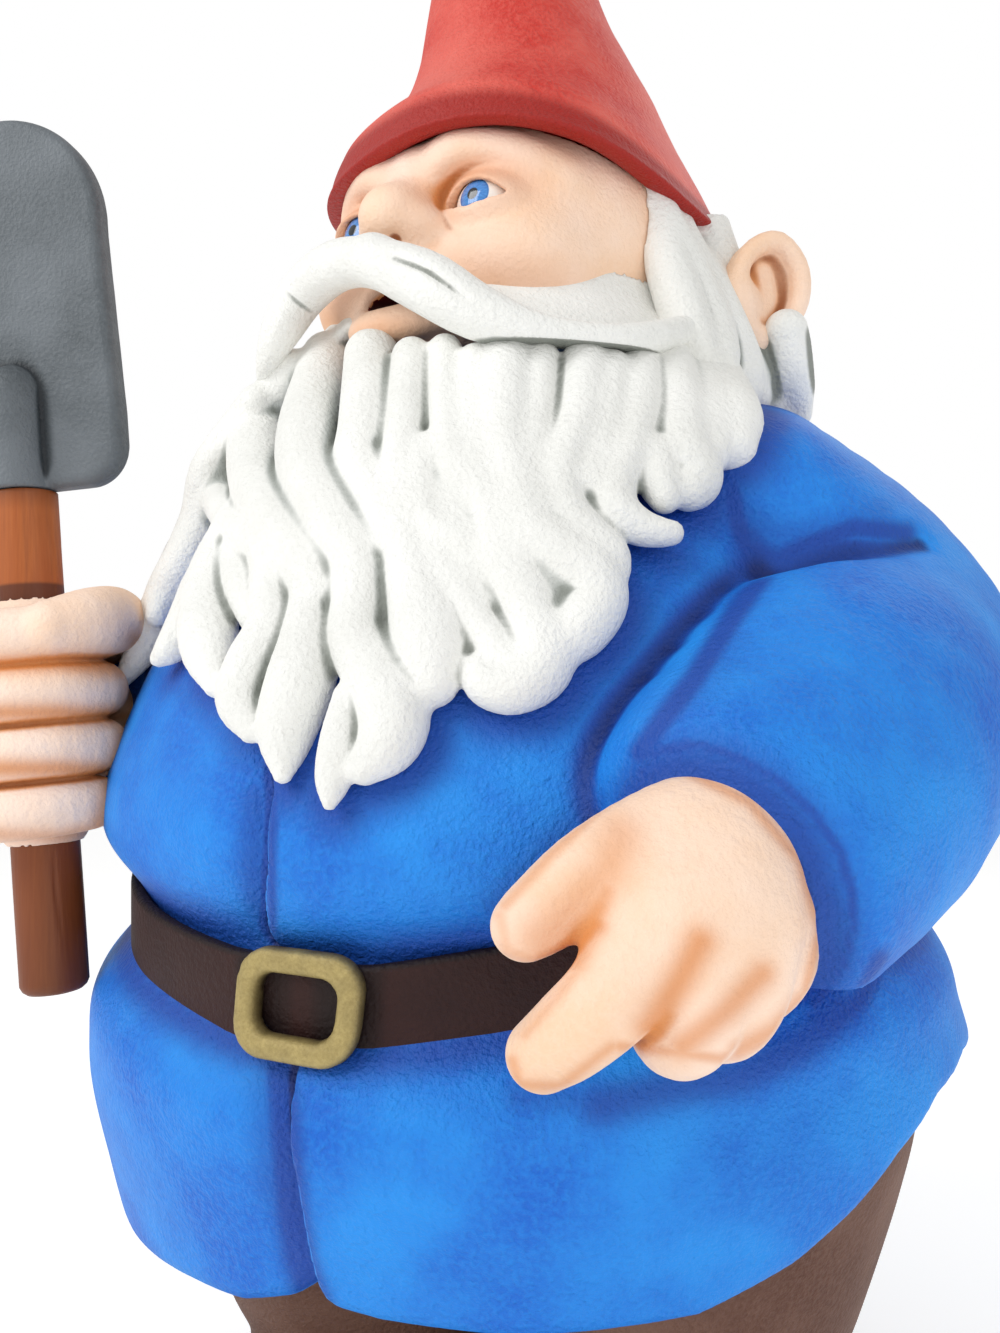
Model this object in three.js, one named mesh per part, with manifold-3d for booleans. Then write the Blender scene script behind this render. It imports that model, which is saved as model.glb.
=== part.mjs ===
// Garden gnome, 1.5 m tall, built up from carved foam blocks on a welded steel frame.
// Units are millimetres, +Z is up and the figure faces -Y, so its left side is +X.
import * as THREE from 'three';
import { mergeVertices } from 'three/addons/utils/BufferGeometryUtils.js';
import Module from 'manifold-3d';

const wasm = await Module();
wasm.setup();

// Driving dimensions
const gap = 0.3;
const overrun = 60;
const mergeTolerance = 0.0001;
const facetTolerance = 0.13;
const carvingTolerance = 0.8;

const plate = {
  width: 620, depth: 470, thickness: 6, cornerRadius: 90, forward: 75, holeRadius: 6.5, holeInset: 55,
};

const frameTube = { side: 40, wall: 3, legSpread: 140, back: 15, hipHeight: 395, hipLength: 320, hatReach: 248 };

const stiffener = { thickness: 3, waistHeight: 455, waistWidth: 300, waistDepth: 220 };
const neckPlate = { below: 18, width: 150, depth: 120 };

const armRod = { radius: 9, rise: 3 };

const boot = {
  soleThickness: 22, soleMargin: 6, halfWidth: 76, heelBack: 115, toeForward: 235, instepHeight: 120, toeHeight: 74,
  out: 140,
};

const trouser = {
  cuffHeight: 78, cuffHalfWidth: 118, cuffHalfDepth: 132, kneeHeight: 200, kneeHalfWidth: 157, kneeHalfDepth: 178,
  topHeight: 420, topHalfWidth: 203, topHalfDepth: 234, out: 140, apart: 4, back: 6,
};

const body = {
  hemHeight: 250, hemHalfWidth: 354, hemHalfDepth: 310, hemRise: 158, hemRecess: 60, hemWall: 36,
  hipHeight: 385, hipHalfWidth: 376, hipHalfDepth: 342,
  waistHeight: 528, waistHalfWidth: 331, waistHalfDepth: 307,
  bellyHeight: 590, bellyHalfWidth: 361, bellyHalfDepth: 337,
  chestHeight: 745, chestHalfWidth: 326, chestHalfDepth: 288,
  shoulderHeight: 862, shoulderHalfWidth: 258, shoulderHalfDepth: 196,
  neckHeight: 908, neckHalfWidth: 178, neckHalfDepth: 142,
};

const fold = { radius: 11, offset: -14, sink: 2, hemSpread: 30 };

const belt = { width: 54, thickness: 12, seat: 4 };

const buckle = { width: 92, height: 70, frame: 17, thickness: 16, cornerRadius: 22, offset: 5, bevel: 5, lean: 6 };

const sleeve = {
  shoulderOut: 206, shoulderBack: 20, shoulderHeight: 832, shoulderRadius: 98,
  upperRadius: 110, elbowRadius: 112, forearmRadius: 104, cuffRadius: 90,
};

const leftArm = {
  upperOut: 260, upperBack: 36, upperHeight: 770,
  elbowOut: 299, elbowBack: 8, elbowHeight: 690,
  forearmOut: 314, forearmForward: 165, forearmHeight: 628,
  cuffOut: 268, cuffForward: 285, cuffHeight: 576,
};

const rightArm = {
  upperOut: 272, upperBack: 44, upperHeight: 768,
  elbowOut: 322, elbowBack: 26, elbowHeight: 690,
  forearmOut: 350, forearmForward: 76, forearmHeight: 658,
  cuffOut: 340, cuffForward: 168, cuffHeight: 654,
};

const leftHand = {
  out: 257, forward: 331, height: 571, size: 96, turn: 7, palmRadius: 59, fingerRadius: 22, thumbRadius: 23,
};

const fist = {
  out: 321, forward: 246, height: 654, coreRadius: 52, wrapRadius: 55, fingerRadius: 25, fingerPitch: 45,
  thumbRadius: 25, wristRadius: 56, boreClearance: 0.6,
};

const shovel = {
  lean: 5, handleRadius: 27, gripRadius: 25.5, handleLength: 410, endChamfer: 7,
  tangRadius: 13, tangLength: 85, bladeWidth: 182, bladeHeight: 308, bladeThickness: 26, bladeBevel: 8,
  bladeTurn: 20,
  bladeShoulder: 32, tongueHalfWidth: 24, tongueDepth: 14, tongueLength: 100, socketRadius: 19, below: 220,
  ledgeHeight: 36,
};

const head = {
  rise: 128, halfWidth: 158, halfDepth: 160, halfHeight: 168, back: 4, tilt: 8, turn: 10,
  eyeSpread: 61, eyeRise: 0, eyeForward: 126, eyeRadius: 27,
  noseForward: 171, noseDrop: 22, noseHalfWidth: 33, noseHalfHeight: 32, noseHalfDepth: 35,
  wingSpread: 27, wingDrop: 34, wingRadius: 19,
  browForward: 141, browRise: 33, browRadius: 19, browSpan: 98,
  cheekSpread: 80, cheekDrop: 38, cheekForward: 88, cheekRadius: 52,
  mouthDrop: 76, mouthHalfWidth: 34, mouthHalfHeight: 12, lipRadius: 13, lipDrop: 94, lipForward: 152,
  lipHalfSpan: 42,
};

const ear = {
  out: 204, back: 56, drop: 22, halfHeight: 46, halfDepth: 37, halfWidth: 28, tilt: 12, cupSink: 15, splay: 38,
};

const hair = {
  napeDrop: 148, napeHalfWidth: 198, napeHalfDepth: 198, bulgeDrop: 106, bulgeHalfWidth: 218, bulgeHalfDepth: 216,
  earHalfWidth: 187, earHalfDepth: 193, crownRise: 74, crownHalfWidth: 166, crownHalfDepth: 172, front: 22,
  rake: 12,
};

const beard = { topDrop: 68, thickness: 56, jawReach: 18, lockWidth: 76, drop: 360, backReach: 30, baseInset: 14 };

const moustache = { radius: 25, depth: 23, span: 150, forward: 184, drop: 52, rise: 8, sweepBack: 100 };

const hat = { brimRadius: 178, brimRise: 37, height: 427, brimRoll: 16, tilt: 13, back: 2, rollTurn: 64 };

// Counts of sides and steps
const bodySides = 28;
const limbSides = 16;
const limbSteps = 11;
const lockSides = 7;
const lockSteps = 8;
const ballSides = 18;
const ballRows = 10;
const smallBallSides = 12;
const smallBallRows = 6;
const roundSides = 18;
const rodSteps = 22;
const sleeveSteps = 14;
const bodyRows = 14;
const legRows = 6;
const hairRows = 9;
const beardRows = 7;
const turnSteps = 6;

// Heights that follow the neck
const headHeight = body.neckHeight + head.rise;
const brimHeight = headHeight + hat.brimRise;
const beardTop = headHeight - beard.topDrop;
const farReach = 4 * body.hipHalfWidth;
const handleTop = shovel.handleLength - shovel.below;

// Shares chosen by hand
const palmShare = 0.98;
const wristShare = 0.84;
const wristDepthShare = 0.55;
const heelShare = 0.86;
const bladeTopShare = 0.93;
const swingShare = 1.7;
const fistFingerShares = [[1.5, 165, 395, 1], [0.5, 162, 402, 1.04], [-0.5, 165, 398, 1], [-1.5, 170, 388, 0.92]];
const browShares = [[0.16, 1.02, 0.86], [0.5, 0.98, 1.05], [0.82, 0.8, 0.96], [1, 0.62, 0.6]];
const lipShares = [[-1, 0.86, 0.94], [-0.5, 0.98, 0.98], [0, 1.03, 1], [0.5, 0.98, 0.98], [1, 0.86, 0.94]];
const fistThumbShares = [
  [-0.87, 0.8, 0.95], [0, 1.24, 1.3], [0.95, 0.78, 1.5], [1.27, -0.05, 1.42], [1.08, -0.7, 1.34],
];
const moustacheShares = [[-0.12, 0, 0], [0.3, 0.06, 0.1], [0.62, 0.36, 0.42], [1, 1, 0.78], [1.1, 1.35, 0.62]];
const moustacheRadiusShares = [
  [0, 0], [0.03, 0.6], [0.12, 1], [0.4, 1.02], [0.7, 0.8], [0.9, 0.5], [0.97, 0.3], [1, 0],
];
const hatShares = [
  [0.95, -0.012, 0.93], [1.03, 0.01, 0.96], [1.03, 0.035, 0.965], [0.975, 0.08, 0.945], [0.9, 0.14, 0.895],
  [0.815, 0.205, 0.81], [0.75, 0.255, 0.685], [0.7, 0.295, 0.57], [0.655, 0.335, 0.53], [0.55, 0.42, 0.475],
  [0.43, 0.51, 0.425], [0.33, 0.62, 0.33], [0.25, 0.73, 0.25], [0.17, 0.85, 0.17], [0.1, 0.94, 0.1], [0.05, 0.99, 0.05],
];
const hemRiseShares = [
  [-1, 0.27], [-0.72, 0.14], [-0.53, 0.08], [-0.33, 0], [-0.22, 0], [-0.07, 0.1], [0, 0.28], [0.06, 0.24],
  [0.14, 0.24], [0.25, 0.3], [0.34, 0.62], [0.43, 0.95], [0.49, 1], [0.58, 0.88], [0.72, 0.5], [1, 0.27],
];
const beardFootShares = [
  [-1, 0.12], [-0.62, 0.18], [-0.53, 0.3], [-0.44, 0.43], [-0.33, 0.56], [-0.22, 0.65], [-0.09, 0.71],
  [0.03, 0.78], [0.11, 0.62], [0.18, 0.55], [0.25, 0.4], [0.37, 0.24], [0.44, 0.18], [0.56, 0.12],
];
const beardLockShares = [
  [-108, -74, 0, 0.27, 0.8, 3], [-92, -58, 0, 0.47, 0.85, -3], [-76, -47, 0, 0.62, 0.9, 3],
  [-62, -37, 0, 0.73, 0.95, -3], [-50, -27, 0, 0.77, 0.95, 3], [-38, -17, 0.03, 0.82, 1, -3],
  [-27, -9, 0.06, 0.88, 1, 3], [-17, -2, 0.07, 0.95, 1, -3],
  [-7, 6, 0.07, 1, 1.05, 3], [4, 13, 0.06, 0.91, 1, -3], [15, 22, 0.03, 0.82, 1, 3], [27, 30, 0, 0.77, 1, -3],
  [40, 38, 0, 0.59, 0.95, 3], [54, 46, 0, 0.52, 0.9, -3], [68, 56, 0, 0.4, 0.85, 3], [84, 72, 0, 0.27, 0.8, -3],
];
const palmReachShare = 0.25;
const knuckleShare = 0.9;
const knuckleShares = [[0, 0], [0.03, 0.45], [0.12, 0.8], [0.3, 1], [0.7, 1], [0.88, 0.8], [0.97, 0.45], [1, 0]];
const roundBarShares = [
  [0, 0], [0.02, 0.55], [0.07, 0.92], [0.2, 1], [0.5, 1], [0.8, 1], [0.93, 0.92], [0.98, 0.55], [1, 0],
];
const fingerShares = [[0, 0], [0.04, 0.6], [0.15, 0.95], [0.4, 1], [0.7, 0.95], [0.88, 0.82], [0.96, 0.52], [1, 0]];
const lockShares = [[0, 0], [0.03, 0.6], [0.1, 0.95], [0.35, 1], [0.6, 0.9], [0.8, 0.7], [0.93, 0.42], [1, 0]];
const thumbPathShares = [[-0.12, 0.1, 0.42], [-0.5, -0.36, 0.26], [-0.86, -0.47, -0.1]];
const indexPathShares = [[0.06, -0.14, -0.08], [-0.25, -0.45, -0.5], [-0.73, -0.39, -0.86]];
const middlePathShares = [[0.16, 0.0, -0.12], [0.2, -0.1, -0.42], [0, -0.06, -0.68], [-0.28, 0.26, -0.58]];
const ringPathShares = [[0.2, 0.2, -0.12], [0.28, 0.22, -0.4], [0.09, 0.33, -0.65], [-0.16, 0.56, -0.5]];
const littlePathShares = [[0.2, 0.4, -0.06], [0.3, 0.58, -0.3], [0.13, 0.66, -0.53], [-0.08, 0.8, -0.36]];

// Colours
const steelColour = 0x8b9094;
const skinColour = 0xf6d3b8;
const blueColour = 0x2b72cf;
const redColour = 0xd0443a;
const whiteColour = 0xf4f3ee;
const leatherColour = 0x3b1d17;
const brassColour = 0xa08a4c;
const brownColour = 0x5a4338;
const soleColour = 0x241c1a;
const bladeColour = 0x7d8387;
const woodColour = 0x8a4a26;
const eyeColour = 0xe9e6e0;

const vector = (x, y, z) => new THREE.Vector3(x, y, z);
const radians = THREE.MathUtils.degToRad;
const lerp = THREE.MathUtils.lerp;

// Turn a closed three.js geometry into a solid, dropping the flat triangles at the poles.
function toSolid(geometry) {
  const bare = geometry.clone();
  bare.deleteAttribute('normal');
  bare.deleteAttribute('uv');
  const merged = mergeVertices(bare, mergeTolerance);
  const points = merged.attributes.position.array;
  const source = merged.index.array;
  const kept = [];
  let volume = 0;
  const [a, b, c] = [vector(), vector(), vector()];
  for (let i = 0; i < source.length; i += 3) {
    const [p, q, r] = [source[i], source[i + 1], source[i + 2]];
    if (p === q || q === r || r === p) continue;
    kept.push(p, q, r);
    a.fromArray(points, p * 3);
    b.fromArray(points, q * 3);
    c.fromArray(points, r * 3);
    volume += a.dot(b.cross(c));
  }
  if (volume < 0) kept.reverse();
  const triVerts = Uint32Array.from(kept);
  return new wasm.Manifold(new wasm.Mesh({ numProp: 3, vertProperties: Float32Array.from(points), triVerts }));
}

// The largest single body of a solid, as a named three.js mesh.
function toMesh(solid, name, color, roughness, metalness) {
  const bodies = solid.simplify(facetTolerance).decompose();
  bodies.sort((first, second) => second.volume() - first.volume());
  const mesh = bodies[0].getMesh();
  const geometry = new THREE.BufferGeometry();
  geometry.setAttribute('position', new THREE.BufferAttribute(Float32Array.from(mesh.vertProperties), 3));
  geometry.setIndex(Array.from(mesh.triVerts));
  geometry.computeVertexNormals();
  const result = new THREE.Mesh(geometry, new THREE.MeshStandardMaterial({ color, roughness, metalness }));
  result.name = name;
  return result;
}

const joined = (...solids) => wasm.Manifold.union(solids);

function moveVertices(geometry, place) {
  const positions = geometry.attributes.position;
  const point = vector();
  for (let i = 0; i < positions.count; i += 1) {
    point.fromBufferAttribute(positions, i);
    place(point);
    positions.setXYZ(i, point.x, point.y, point.z);
  }
  return geometry;
}

// A stack of elliptical rings closed at both ends. A ring is { z, w, d, x, y }.
function ringSolid(rings, sides, shape = () => {}) {
  const first = rings[0];
  const last = rings[rings.length - 1];
  const stack = [{ ...first, w: 0, d: 0 }, ...rings, { ...last, w: 0, d: 0 }];
  const profile = stack.map((ring, i) => new THREE.Vector2(i === 0 || i === stack.length - 1 ? 0 : 1, i));
  const geometry = new THREE.LatheGeometry(profile, sides);
  moveVertices(geometry, (point) => {
    const ring = stack[Math.round(point.y)];
    const [across, along] = [point.x, point.z];
    point.set((ring.x ?? 0) + across * ring.w, (ring.y ?? 0) + along * ring.d, ring.z);
    shape(point, across, along, ring);
  });
  return toSolid(geometry);
}

// A tapering round bar bent along a curve. Radius shares are given as [place, radius] pairs.
function bentSolid(points, radiusShares, radius, options = {}) {
  const { depth = radius, outward = vector(0, -1, 0), sides = limbSides, steps = limbSteps, grow = 0 } = options;
  const curve = new THREE.CatmullRomCurve3(points, false, 'centripetal');
  const outline = new THREE.SplineCurve(radiusShares.map(([place, share]) => new THREE.Vector2(share, place)));
  const profile = outline.getPoints(steps);
  profile.forEach((point) => point.setX(Math.max(point.x, 0)));
  profile[0].set(0, 0);
  profile[profile.length - 1].set(0, 1);
  const geometry = new THREE.LatheGeometry(profile, sides);
  moveVertices(geometry, (point) => {
    const place = THREE.MathUtils.clamp(point.y, 0, 1);
    const share = Math.hypot(point.x, point.z);
    const turn = Math.atan2(point.z, point.x);
    const centre = curve.getPointAt(place);
    const tangent = curve.getTangentAt(place);
    const side = vector().crossVectors(tangent, outward).normalize();
    const out = vector().crossVectors(side, tangent);
    const lift = share > 0 ? grow : 0;
    point.copy(centre);
    point.addScaledVector(tangent, grow * (2 * place - 1));
    point.addScaledVector(side, Math.cos(turn) * (share * radius + lift));
    point.addScaledVector(out, Math.sin(turn) * (share * depth + lift));
  });
  return toSolid(geometry);
}

function ball(centre, radii, sides = smallBallSides, rows = smallBallRows) {
  const geometry = new THREE.SphereGeometry(1, sides, rows);
  geometry.rotateX(Math.PI / 2);
  geometry.scale(radii.x, radii.y, radii.z);
  geometry.translate(centre.x, centre.y, centre.z);
  return toSolid(geometry);
}

function block(size, centre) {
  const geometry = new THREE.BoxGeometry(size.x, size.y, size.z);
  geometry.translate(centre.x, centre.y, centre.z);
  return toSolid(geometry);
}

// A block that reaches past the whole figure, to cut with one of its faces.
const farBlock = (x, y, z) => block(vector(farReach, farReach, farReach), vector(x, y, z));

// The second value of a table of pairs, read between its rows.
function sharesAt(shares, place) {
  const after = shares.findIndex(([start]) => start > place);
  if (after === 0) return shares[0][1];
  if (after < 0) return shares[shares.length - 1][1];
  const [low, high] = [shares[after - 1], shares[after]];
  return lerp(low[1], high[1], (place - low[0]) / (high[0] - low[0]));
}

// Steel frame
function plateSolid() {
  const { width, depth, thickness, cornerRadius, forward, holeRadius, holeInset } = plate;
  const [w, d] = [width / 2, depth / 2];
  const outline = new THREE.Shape();
  outline.absarc(w - cornerRadius, d - cornerRadius, cornerRadius, 0, Math.PI / 2);
  outline.absarc(cornerRadius - w, d - cornerRadius, cornerRadius, Math.PI / 2, Math.PI);
  outline.absarc(cornerRadius - w, cornerRadius - d, cornerRadius, Math.PI, 1.5 * Math.PI);
  outline.absarc(w - cornerRadius, cornerRadius - d, cornerRadius, 1.5 * Math.PI, 2 * Math.PI);
  for (const [across, along] of [[1, 1], [-1, 1], [-1, -1], [1, -1]]) {
    const hole = new THREE.Path();
    hole.absarc(across * (w - holeInset), along * (d - holeInset), holeRadius, 0, 2 * Math.PI, true);
    outline.holes.push(hole);
  }
  const geometry = new THREE.ExtrudeGeometry(outline, { depth: thickness, bevelEnabled: false, curveSegments: 8 });
  geometry.translate(0, -forward, 0);
  return toSolid(geometry);
}

// A square tube from z = 0 to its length, or its solid envelope when grown.
function squareTube(length, grow = 0) {
  const half = frameTube.side / 2 + grow;
  const bore = frameTube.side / 2 - frameTube.wall;
  const outer = block(vector(2 * half, 2 * half, length + 2 * grow), vector(0, 0, length / 2));
  if (grow > 0) return outer;
  return outer.subtract(block(vector(2 * bore, 2 * bore, length + overrun), vector(0, 0, length / 2)));
}

const postLength = frameTube.hipHeight - plate.thickness - 2 * gap;
const mastFoot = frameTube.hipHeight + frameTube.side + gap;

const legPost = (side, grow = 0) => squareTube(postLength, grow)
  .translate([side * frameTube.legSpread, frameTube.back, plate.thickness + gap]);

const hipBar = (grow = 0) => squareTube(frameTube.hipLength, grow)
  .rotate([0, 90, 0])
  .translate([-frameTube.hipLength / 2, frameTube.back, frameTube.hipHeight + frameTube.side / 2]);

const mast = (grow = 0) => squareTube(brimHeight + frameTube.hatReach - mastFoot, grow)
  .translate([0, frameTube.back, mastFoot]);

function keyPlate(width, depth, height, grow = 0) {
  const solid = block(
    vector(width + 2 * grow, depth + 2 * grow, stiffener.thickness + 2 * grow),
    vector(0, frameTube.back, height),
  );
  return grow > 0 ? solid : solid.subtract(mast(gap));
}

const waistPlate = (grow = 0) => keyPlate(stiffener.waistWidth, stiffener.waistDepth, stiffener.waistHeight, grow);
const neckKey = (grow = 0) => keyPlate(neckPlate.width, neckPlate.depth, body.neckHeight - neckPlate.below, grow);

const shovelLean = radians(shovel.lean);
const shovelAxis = vector(-Math.sin(shovelLean), 0, Math.cos(shovelLean));
const fistCentre = vector(-fist.out, -fist.forward, fist.height);
const handCentre = vector(leftHand.out, -leftHand.forward, leftHand.height);

function armPoints(side, arm) {
  return [
    vector(side * sleeve.shoulderOut, sleeve.shoulderBack, sleeve.shoulderHeight),
    vector(side * arm.upperOut, arm.upperBack, arm.upperHeight),
    vector(side * arm.elbowOut, arm.elbowBack, arm.elbowHeight),
    vector(side * arm.forearmOut, -arm.forearmForward, arm.forearmHeight),
    vector(side * arm.cuffOut, -arm.cuffForward, arm.cuffHeight),
  ];
}

// A steel rod from the mast, down the middle of the arm and into the hand.
function rodSolid(side, arm, handPoint, grow = 0) {
  const start = vector(side * (frameTube.side / 2 + gap), frameTube.back, sleeve.shoulderHeight + armRod.rise);
  const route = [start, ...armPoints(side, arm), handPoint];
  const curve = new THREE.CatmullRomCurve3(route, false, 'centripetal');
  const profile = [new THREE.Vector2(0, 0)];
  for (let i = 0; i <= rodSteps; i += 1) profile.push(new THREE.Vector2(1, i / rodSteps));
  profile.push(new THREE.Vector2(0, 1));
  const geometry = new THREE.LatheGeometry(profile, lockSides);
  moveVertices(geometry, (point) => {
    const centre = curve.getPointAt(THREE.MathUtils.clamp(point.y, 0, 1));
    const tangent = curve.getTangentAt(THREE.MathUtils.clamp(point.y, 0, 1));
    if (point.y <= 0) tangent.set(side, 0, 0);
    const across = vector().crossVectors(tangent, vector(0, 0, 1)).normalize();
    const up = vector().crossVectors(across, tangent);
    const end = point.y <= 0 ? -1 : Number(point.y >= 1);
    const radius = armRod.radius + grow;
    const [cosine, sine] = [point.x, point.z];
    point.copy(centre).addScaledVector(tangent, end * grow);
    point.addScaledVector(across, cosine * radius).addScaledVector(up, sine * radius);
  });
  return toSolid(geometry);
}

const leftRodEnd = handCentre.clone().add(vector(0, palmReachShare * leftHand.palmRadius, 0));
const rightRodEnd = fistCentre.clone().add(vector(0, fist.coreRadius + armRod.radius, 0));
const leftRod = (grow = 0) => rodSolid(1, leftArm, leftRodEnd, grow);
const rightRod = (grow = 0) => rodSolid(-1, rightArm, rightRodEnd, grow);

const steelwork = joined(
  legPost(1, gap), legPost(-1, gap), hipBar(gap), mast(gap), waistPlate(gap), neckKey(gap),
  leftRod(gap), rightRod(gap),
);

// Tunic body, one smooth form that the waist cut parts into skirt and torso
const bodyStations = [
  [body.hemHeight, body.hemHalfWidth, body.hemHalfDepth],
  [body.hipHeight, body.hipHalfWidth, body.hipHalfDepth],
  [body.waistHeight, body.waistHalfWidth, body.waistHalfDepth],
  [body.bellyHeight, body.bellyHalfWidth, body.bellyHalfDepth],
  [body.chestHeight, body.chestHalfWidth, body.chestHalfDepth],
  [body.shoulderHeight, body.shoulderHalfWidth, body.shoulderHalfDepth],
  [body.neckHeight, body.neckHalfWidth, body.neckHalfDepth],
];
const bodyLine = new THREE.CatmullRomCurve3(bodyStations.map(([z, w, d]) => vector(w, d, z)), false, 'centripetal')
  .getPoints(bodyRows);

function bodyAt(height) {
  const after = bodyLine.findIndex((point) => point.z > height);
  if (after === 0) return { w: bodyLine[0].x, d: bodyLine[0].y };
  if (after < 0) return { w: body.neckHalfWidth, d: body.neckHalfDepth };
  const [low, high] = [bodyLine[after - 1], bodyLine[after]];
  const share = (height - low.z) / (high.z - low.z);
  return { w: lerp(low.x, high.x, share), d: lerp(low.y, high.y, share) };
}

// Distance from the axis to the body's surface, at an angle from the front towards the left.
function bodyReach(angle, height) {
  const { w, d } = bodyAt(height);
  return (w * d) / Math.hypot(d * Math.sin(angle), w * Math.cos(angle));
}

function bodyForm(grow = 0) {
  const rings = bodyLine.map((point) => ({ z: point.z, w: point.x + grow, d: point.y + grow }));
  rings[0].z -= grow;
  rings[rings.length - 1].z += grow;
  const hemReach = body.waistHeight - belt.width - body.hemHeight;
  return ringSolid(rings, bodySides, (point, across, along) => {
    if (Math.hypot(across, along) === 0) return;
    const share = THREE.MathUtils.clamp((body.waistHeight - belt.width - point.z) / hemReach, 0, 1);
    point.z += share * body.hemRise * sharesAt(hemRiseShares, Math.atan2(across, -along) / Math.PI);
  });
}

// The waist runs a little lower at the front, square to a tilted belt.
const waistTilt = 8;
const tiltedSlab = (lift, thickness, reach) => block(vector(reach, reach, thickness), vector(0, 0, lift))
  .rotate([waistTilt, 0, 0])
  .translate([0, 0, body.waistHeight]);
const aboveWaist = tiltedSlab(farReach / 2 + gap / 2, farReach, farReach);
const belowWaist = tiltedSlab(-farReach / 2 - gap / 2, farReach, farReach);

function foldGroove() {
  const heights = [
    body.hemHeight - overrun, body.hemHeight, body.hipHeight, body.waistHeight, body.bellyHeight, body.chestHeight,
  ];
  const points = heights.map((height) => {
    const spread = height < body.waistHeight ? fold.hemSpread : 0;
    return vector(fold.offset + spread, -bodyAt(Math.max(height, body.hemHeight)).d - fold.sink, height);
  });
  return bentSolid(points, roundBarShares, fold.radius, { sides: lockSides });
}

const groove = foldGroove();
const wholeBody = bodyForm();

function beltBand(grow = 0) {
  const outer = bodyForm(belt.thickness - belt.seat + grow);
  return outer.intersect(tiltedSlab(0, belt.width + 2 * grow, farReach));
}

// The groove under the belt, so that the band lies partly in the foam.
const beltSeat = beltBand(gap).subtract(bodyForm(-belt.seat - gap));

// Trousers and boots
function trouserForm(side, grow = 0) {
  const line = new THREE.CatmullRomCurve3([
    vector(trouser.cuffHalfWidth, trouser.cuffHalfDepth, trouser.cuffHeight),
    vector(trouser.kneeHalfWidth, trouser.kneeHalfDepth, trouser.kneeHeight),
    vector(trouser.topHalfWidth, trouser.topHalfDepth, trouser.topHeight),
  ], false, 'centripetal').getPoints(legRows);
  const rings = line.map((point) => ({
    z: point.z, w: point.x + grow, d: point.y + grow, x: side * trouser.out, y: trouser.back,
  }));
  rings[0].z -= grow;
  rings[rings.length - 1].z += grow;
  const inner = trouser.apart / 2 - grow;
  return ringSolid(rings, ballSides).intersect(farBlock(side * (farReach / 2 + inner), 0, 0));
}

const soleTop = plate.thickness + gap + boot.soleThickness;

// Outline of the sole seen from above: a round heel and a broader round toe.
function soleOutline(side, margin) {
  const outline = new THREE.Shape();
  const heelRadius = boot.halfWidth * heelShare + margin;
  const toeRadius = boot.halfWidth + margin;
  const heelY = boot.heelBack - boot.halfWidth * heelShare;
  const toeY = -boot.toeForward + boot.halfWidth;
  outline.absarc(0, heelY, heelRadius, 0, Math.PI);
  outline.absarc(0, toeY, toeRadius, Math.PI, 2 * Math.PI);
  return outline;
}

function soleForm(side) {
  const settings = { depth: boot.soleThickness, bevelEnabled: false, curveSegments: 10 };
  const geometry = new THREE.ExtrudeGeometry(soleOutline(side, boot.soleMargin), settings);
  geometry.translate(side * boot.out, 0, plate.thickness + gap);
  return toSolid(geometry);
}

function bootForm(side, grow = 0) {
  const base = soleTop + gap;
  const toeLength = boot.toeForward - boot.halfWidth;
  const toe = ball(
    vector(side * boot.out, -toeLength, base),
    vector(boot.halfWidth + grow, boot.halfWidth + grow, boot.toeHeight + grow),
    ballSides,
  );
  const foot = ball(
    vector(side * boot.out, (boot.heelBack - boot.toeForward) / 2, base),
    vector(boot.halfWidth + grow, (boot.heelBack + boot.toeForward) / 2 + grow, boot.instepHeight + grow),
    ballSides,
  );
  return joined(toe, foot).intersect(farBlock(0, 0, base - grow + farReach / 2));
}

// Arms
function sleeveForm(side, arm, grow = 0) {
  const points = armPoints(side, arm);
  const widest = sleeve.elbowRadius;
  const radiusShares = [
    [0, 0], [0.01, sleeve.shoulderRadius / widest * 0.5], [0.06, sleeve.shoulderRadius / widest * 0.9],
    [0.25, sleeve.upperRadius / widest], [0.45, 1], [0.72, sleeve.forearmRadius / widest],
    [0.94, sleeve.cuffRadius / widest], [0.985, sleeve.cuffRadius / widest * 0.86], [1, 0],
  ];
  return bentSolid(points, radiusShares, widest, {
    outward: vector(0, 0, 1), sides: limbSides + 2, steps: sleeveSteps, grow,
  });
}

const handTurn = new THREE.Quaternion().setFromAxisAngle(vector(0, 0, 1), -radians(leftHand.turn));
const fromHand = ([x, y, z]) => vector(x, y, z)
  .applyQuaternion(handTurn)
  .multiplyScalar(leftHand.size)
  .add(handCentre);
function leftHandForm(grow = 0) {
  const { palmRadius, fingerRadius, thumbRadius } = leftHand;
  const fingerSettings = { sides: lockSides + 1, steps: lockSteps, grow, outward: vector(0.6, -0.8, 0) };
  const finger = (shares, radius) => bentSolid(shares.map(fromHand), fingerShares, radius, fingerSettings);
  const curledFinger = (shares) => joined(...shares.slice(1).map((end, i) => {
    const [first, last] = [fromHand(shares[i]), fromHand(end)];
    const reach = last.clone().sub(first).setLength(fingerRadius * knuckleShare);
    return bentSolid([first.sub(reach), last.add(reach)], knuckleShares, fingerRadius, fingerSettings);
  }));
  const palmRadii = vector(palmRadius + grow, palmRadius + grow, palmRadius * palmShare + grow);
  const palm = ball(handCentre, palmRadii, ballSides, ballRows);
  const [forearm, cuff] = armPoints(1, leftArm).slice(-2);
  const wristPoints = [handCentre, cuff.lerp(forearm, wristDepthShare)];
  const wrist = bentSolid(wristPoints, roundBarShares, palmRadius * wristShare, { outward: vector(0, 0, 1), grow });
  return joined(
    palm, wrist, finger(thumbPathShares, thumbRadius), finger(indexPathShares, fingerRadius),
    curledFinger(middlePathShares), curledFinger(ringPathShares), curledFinger(littlePathShares),
  );
}

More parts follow.
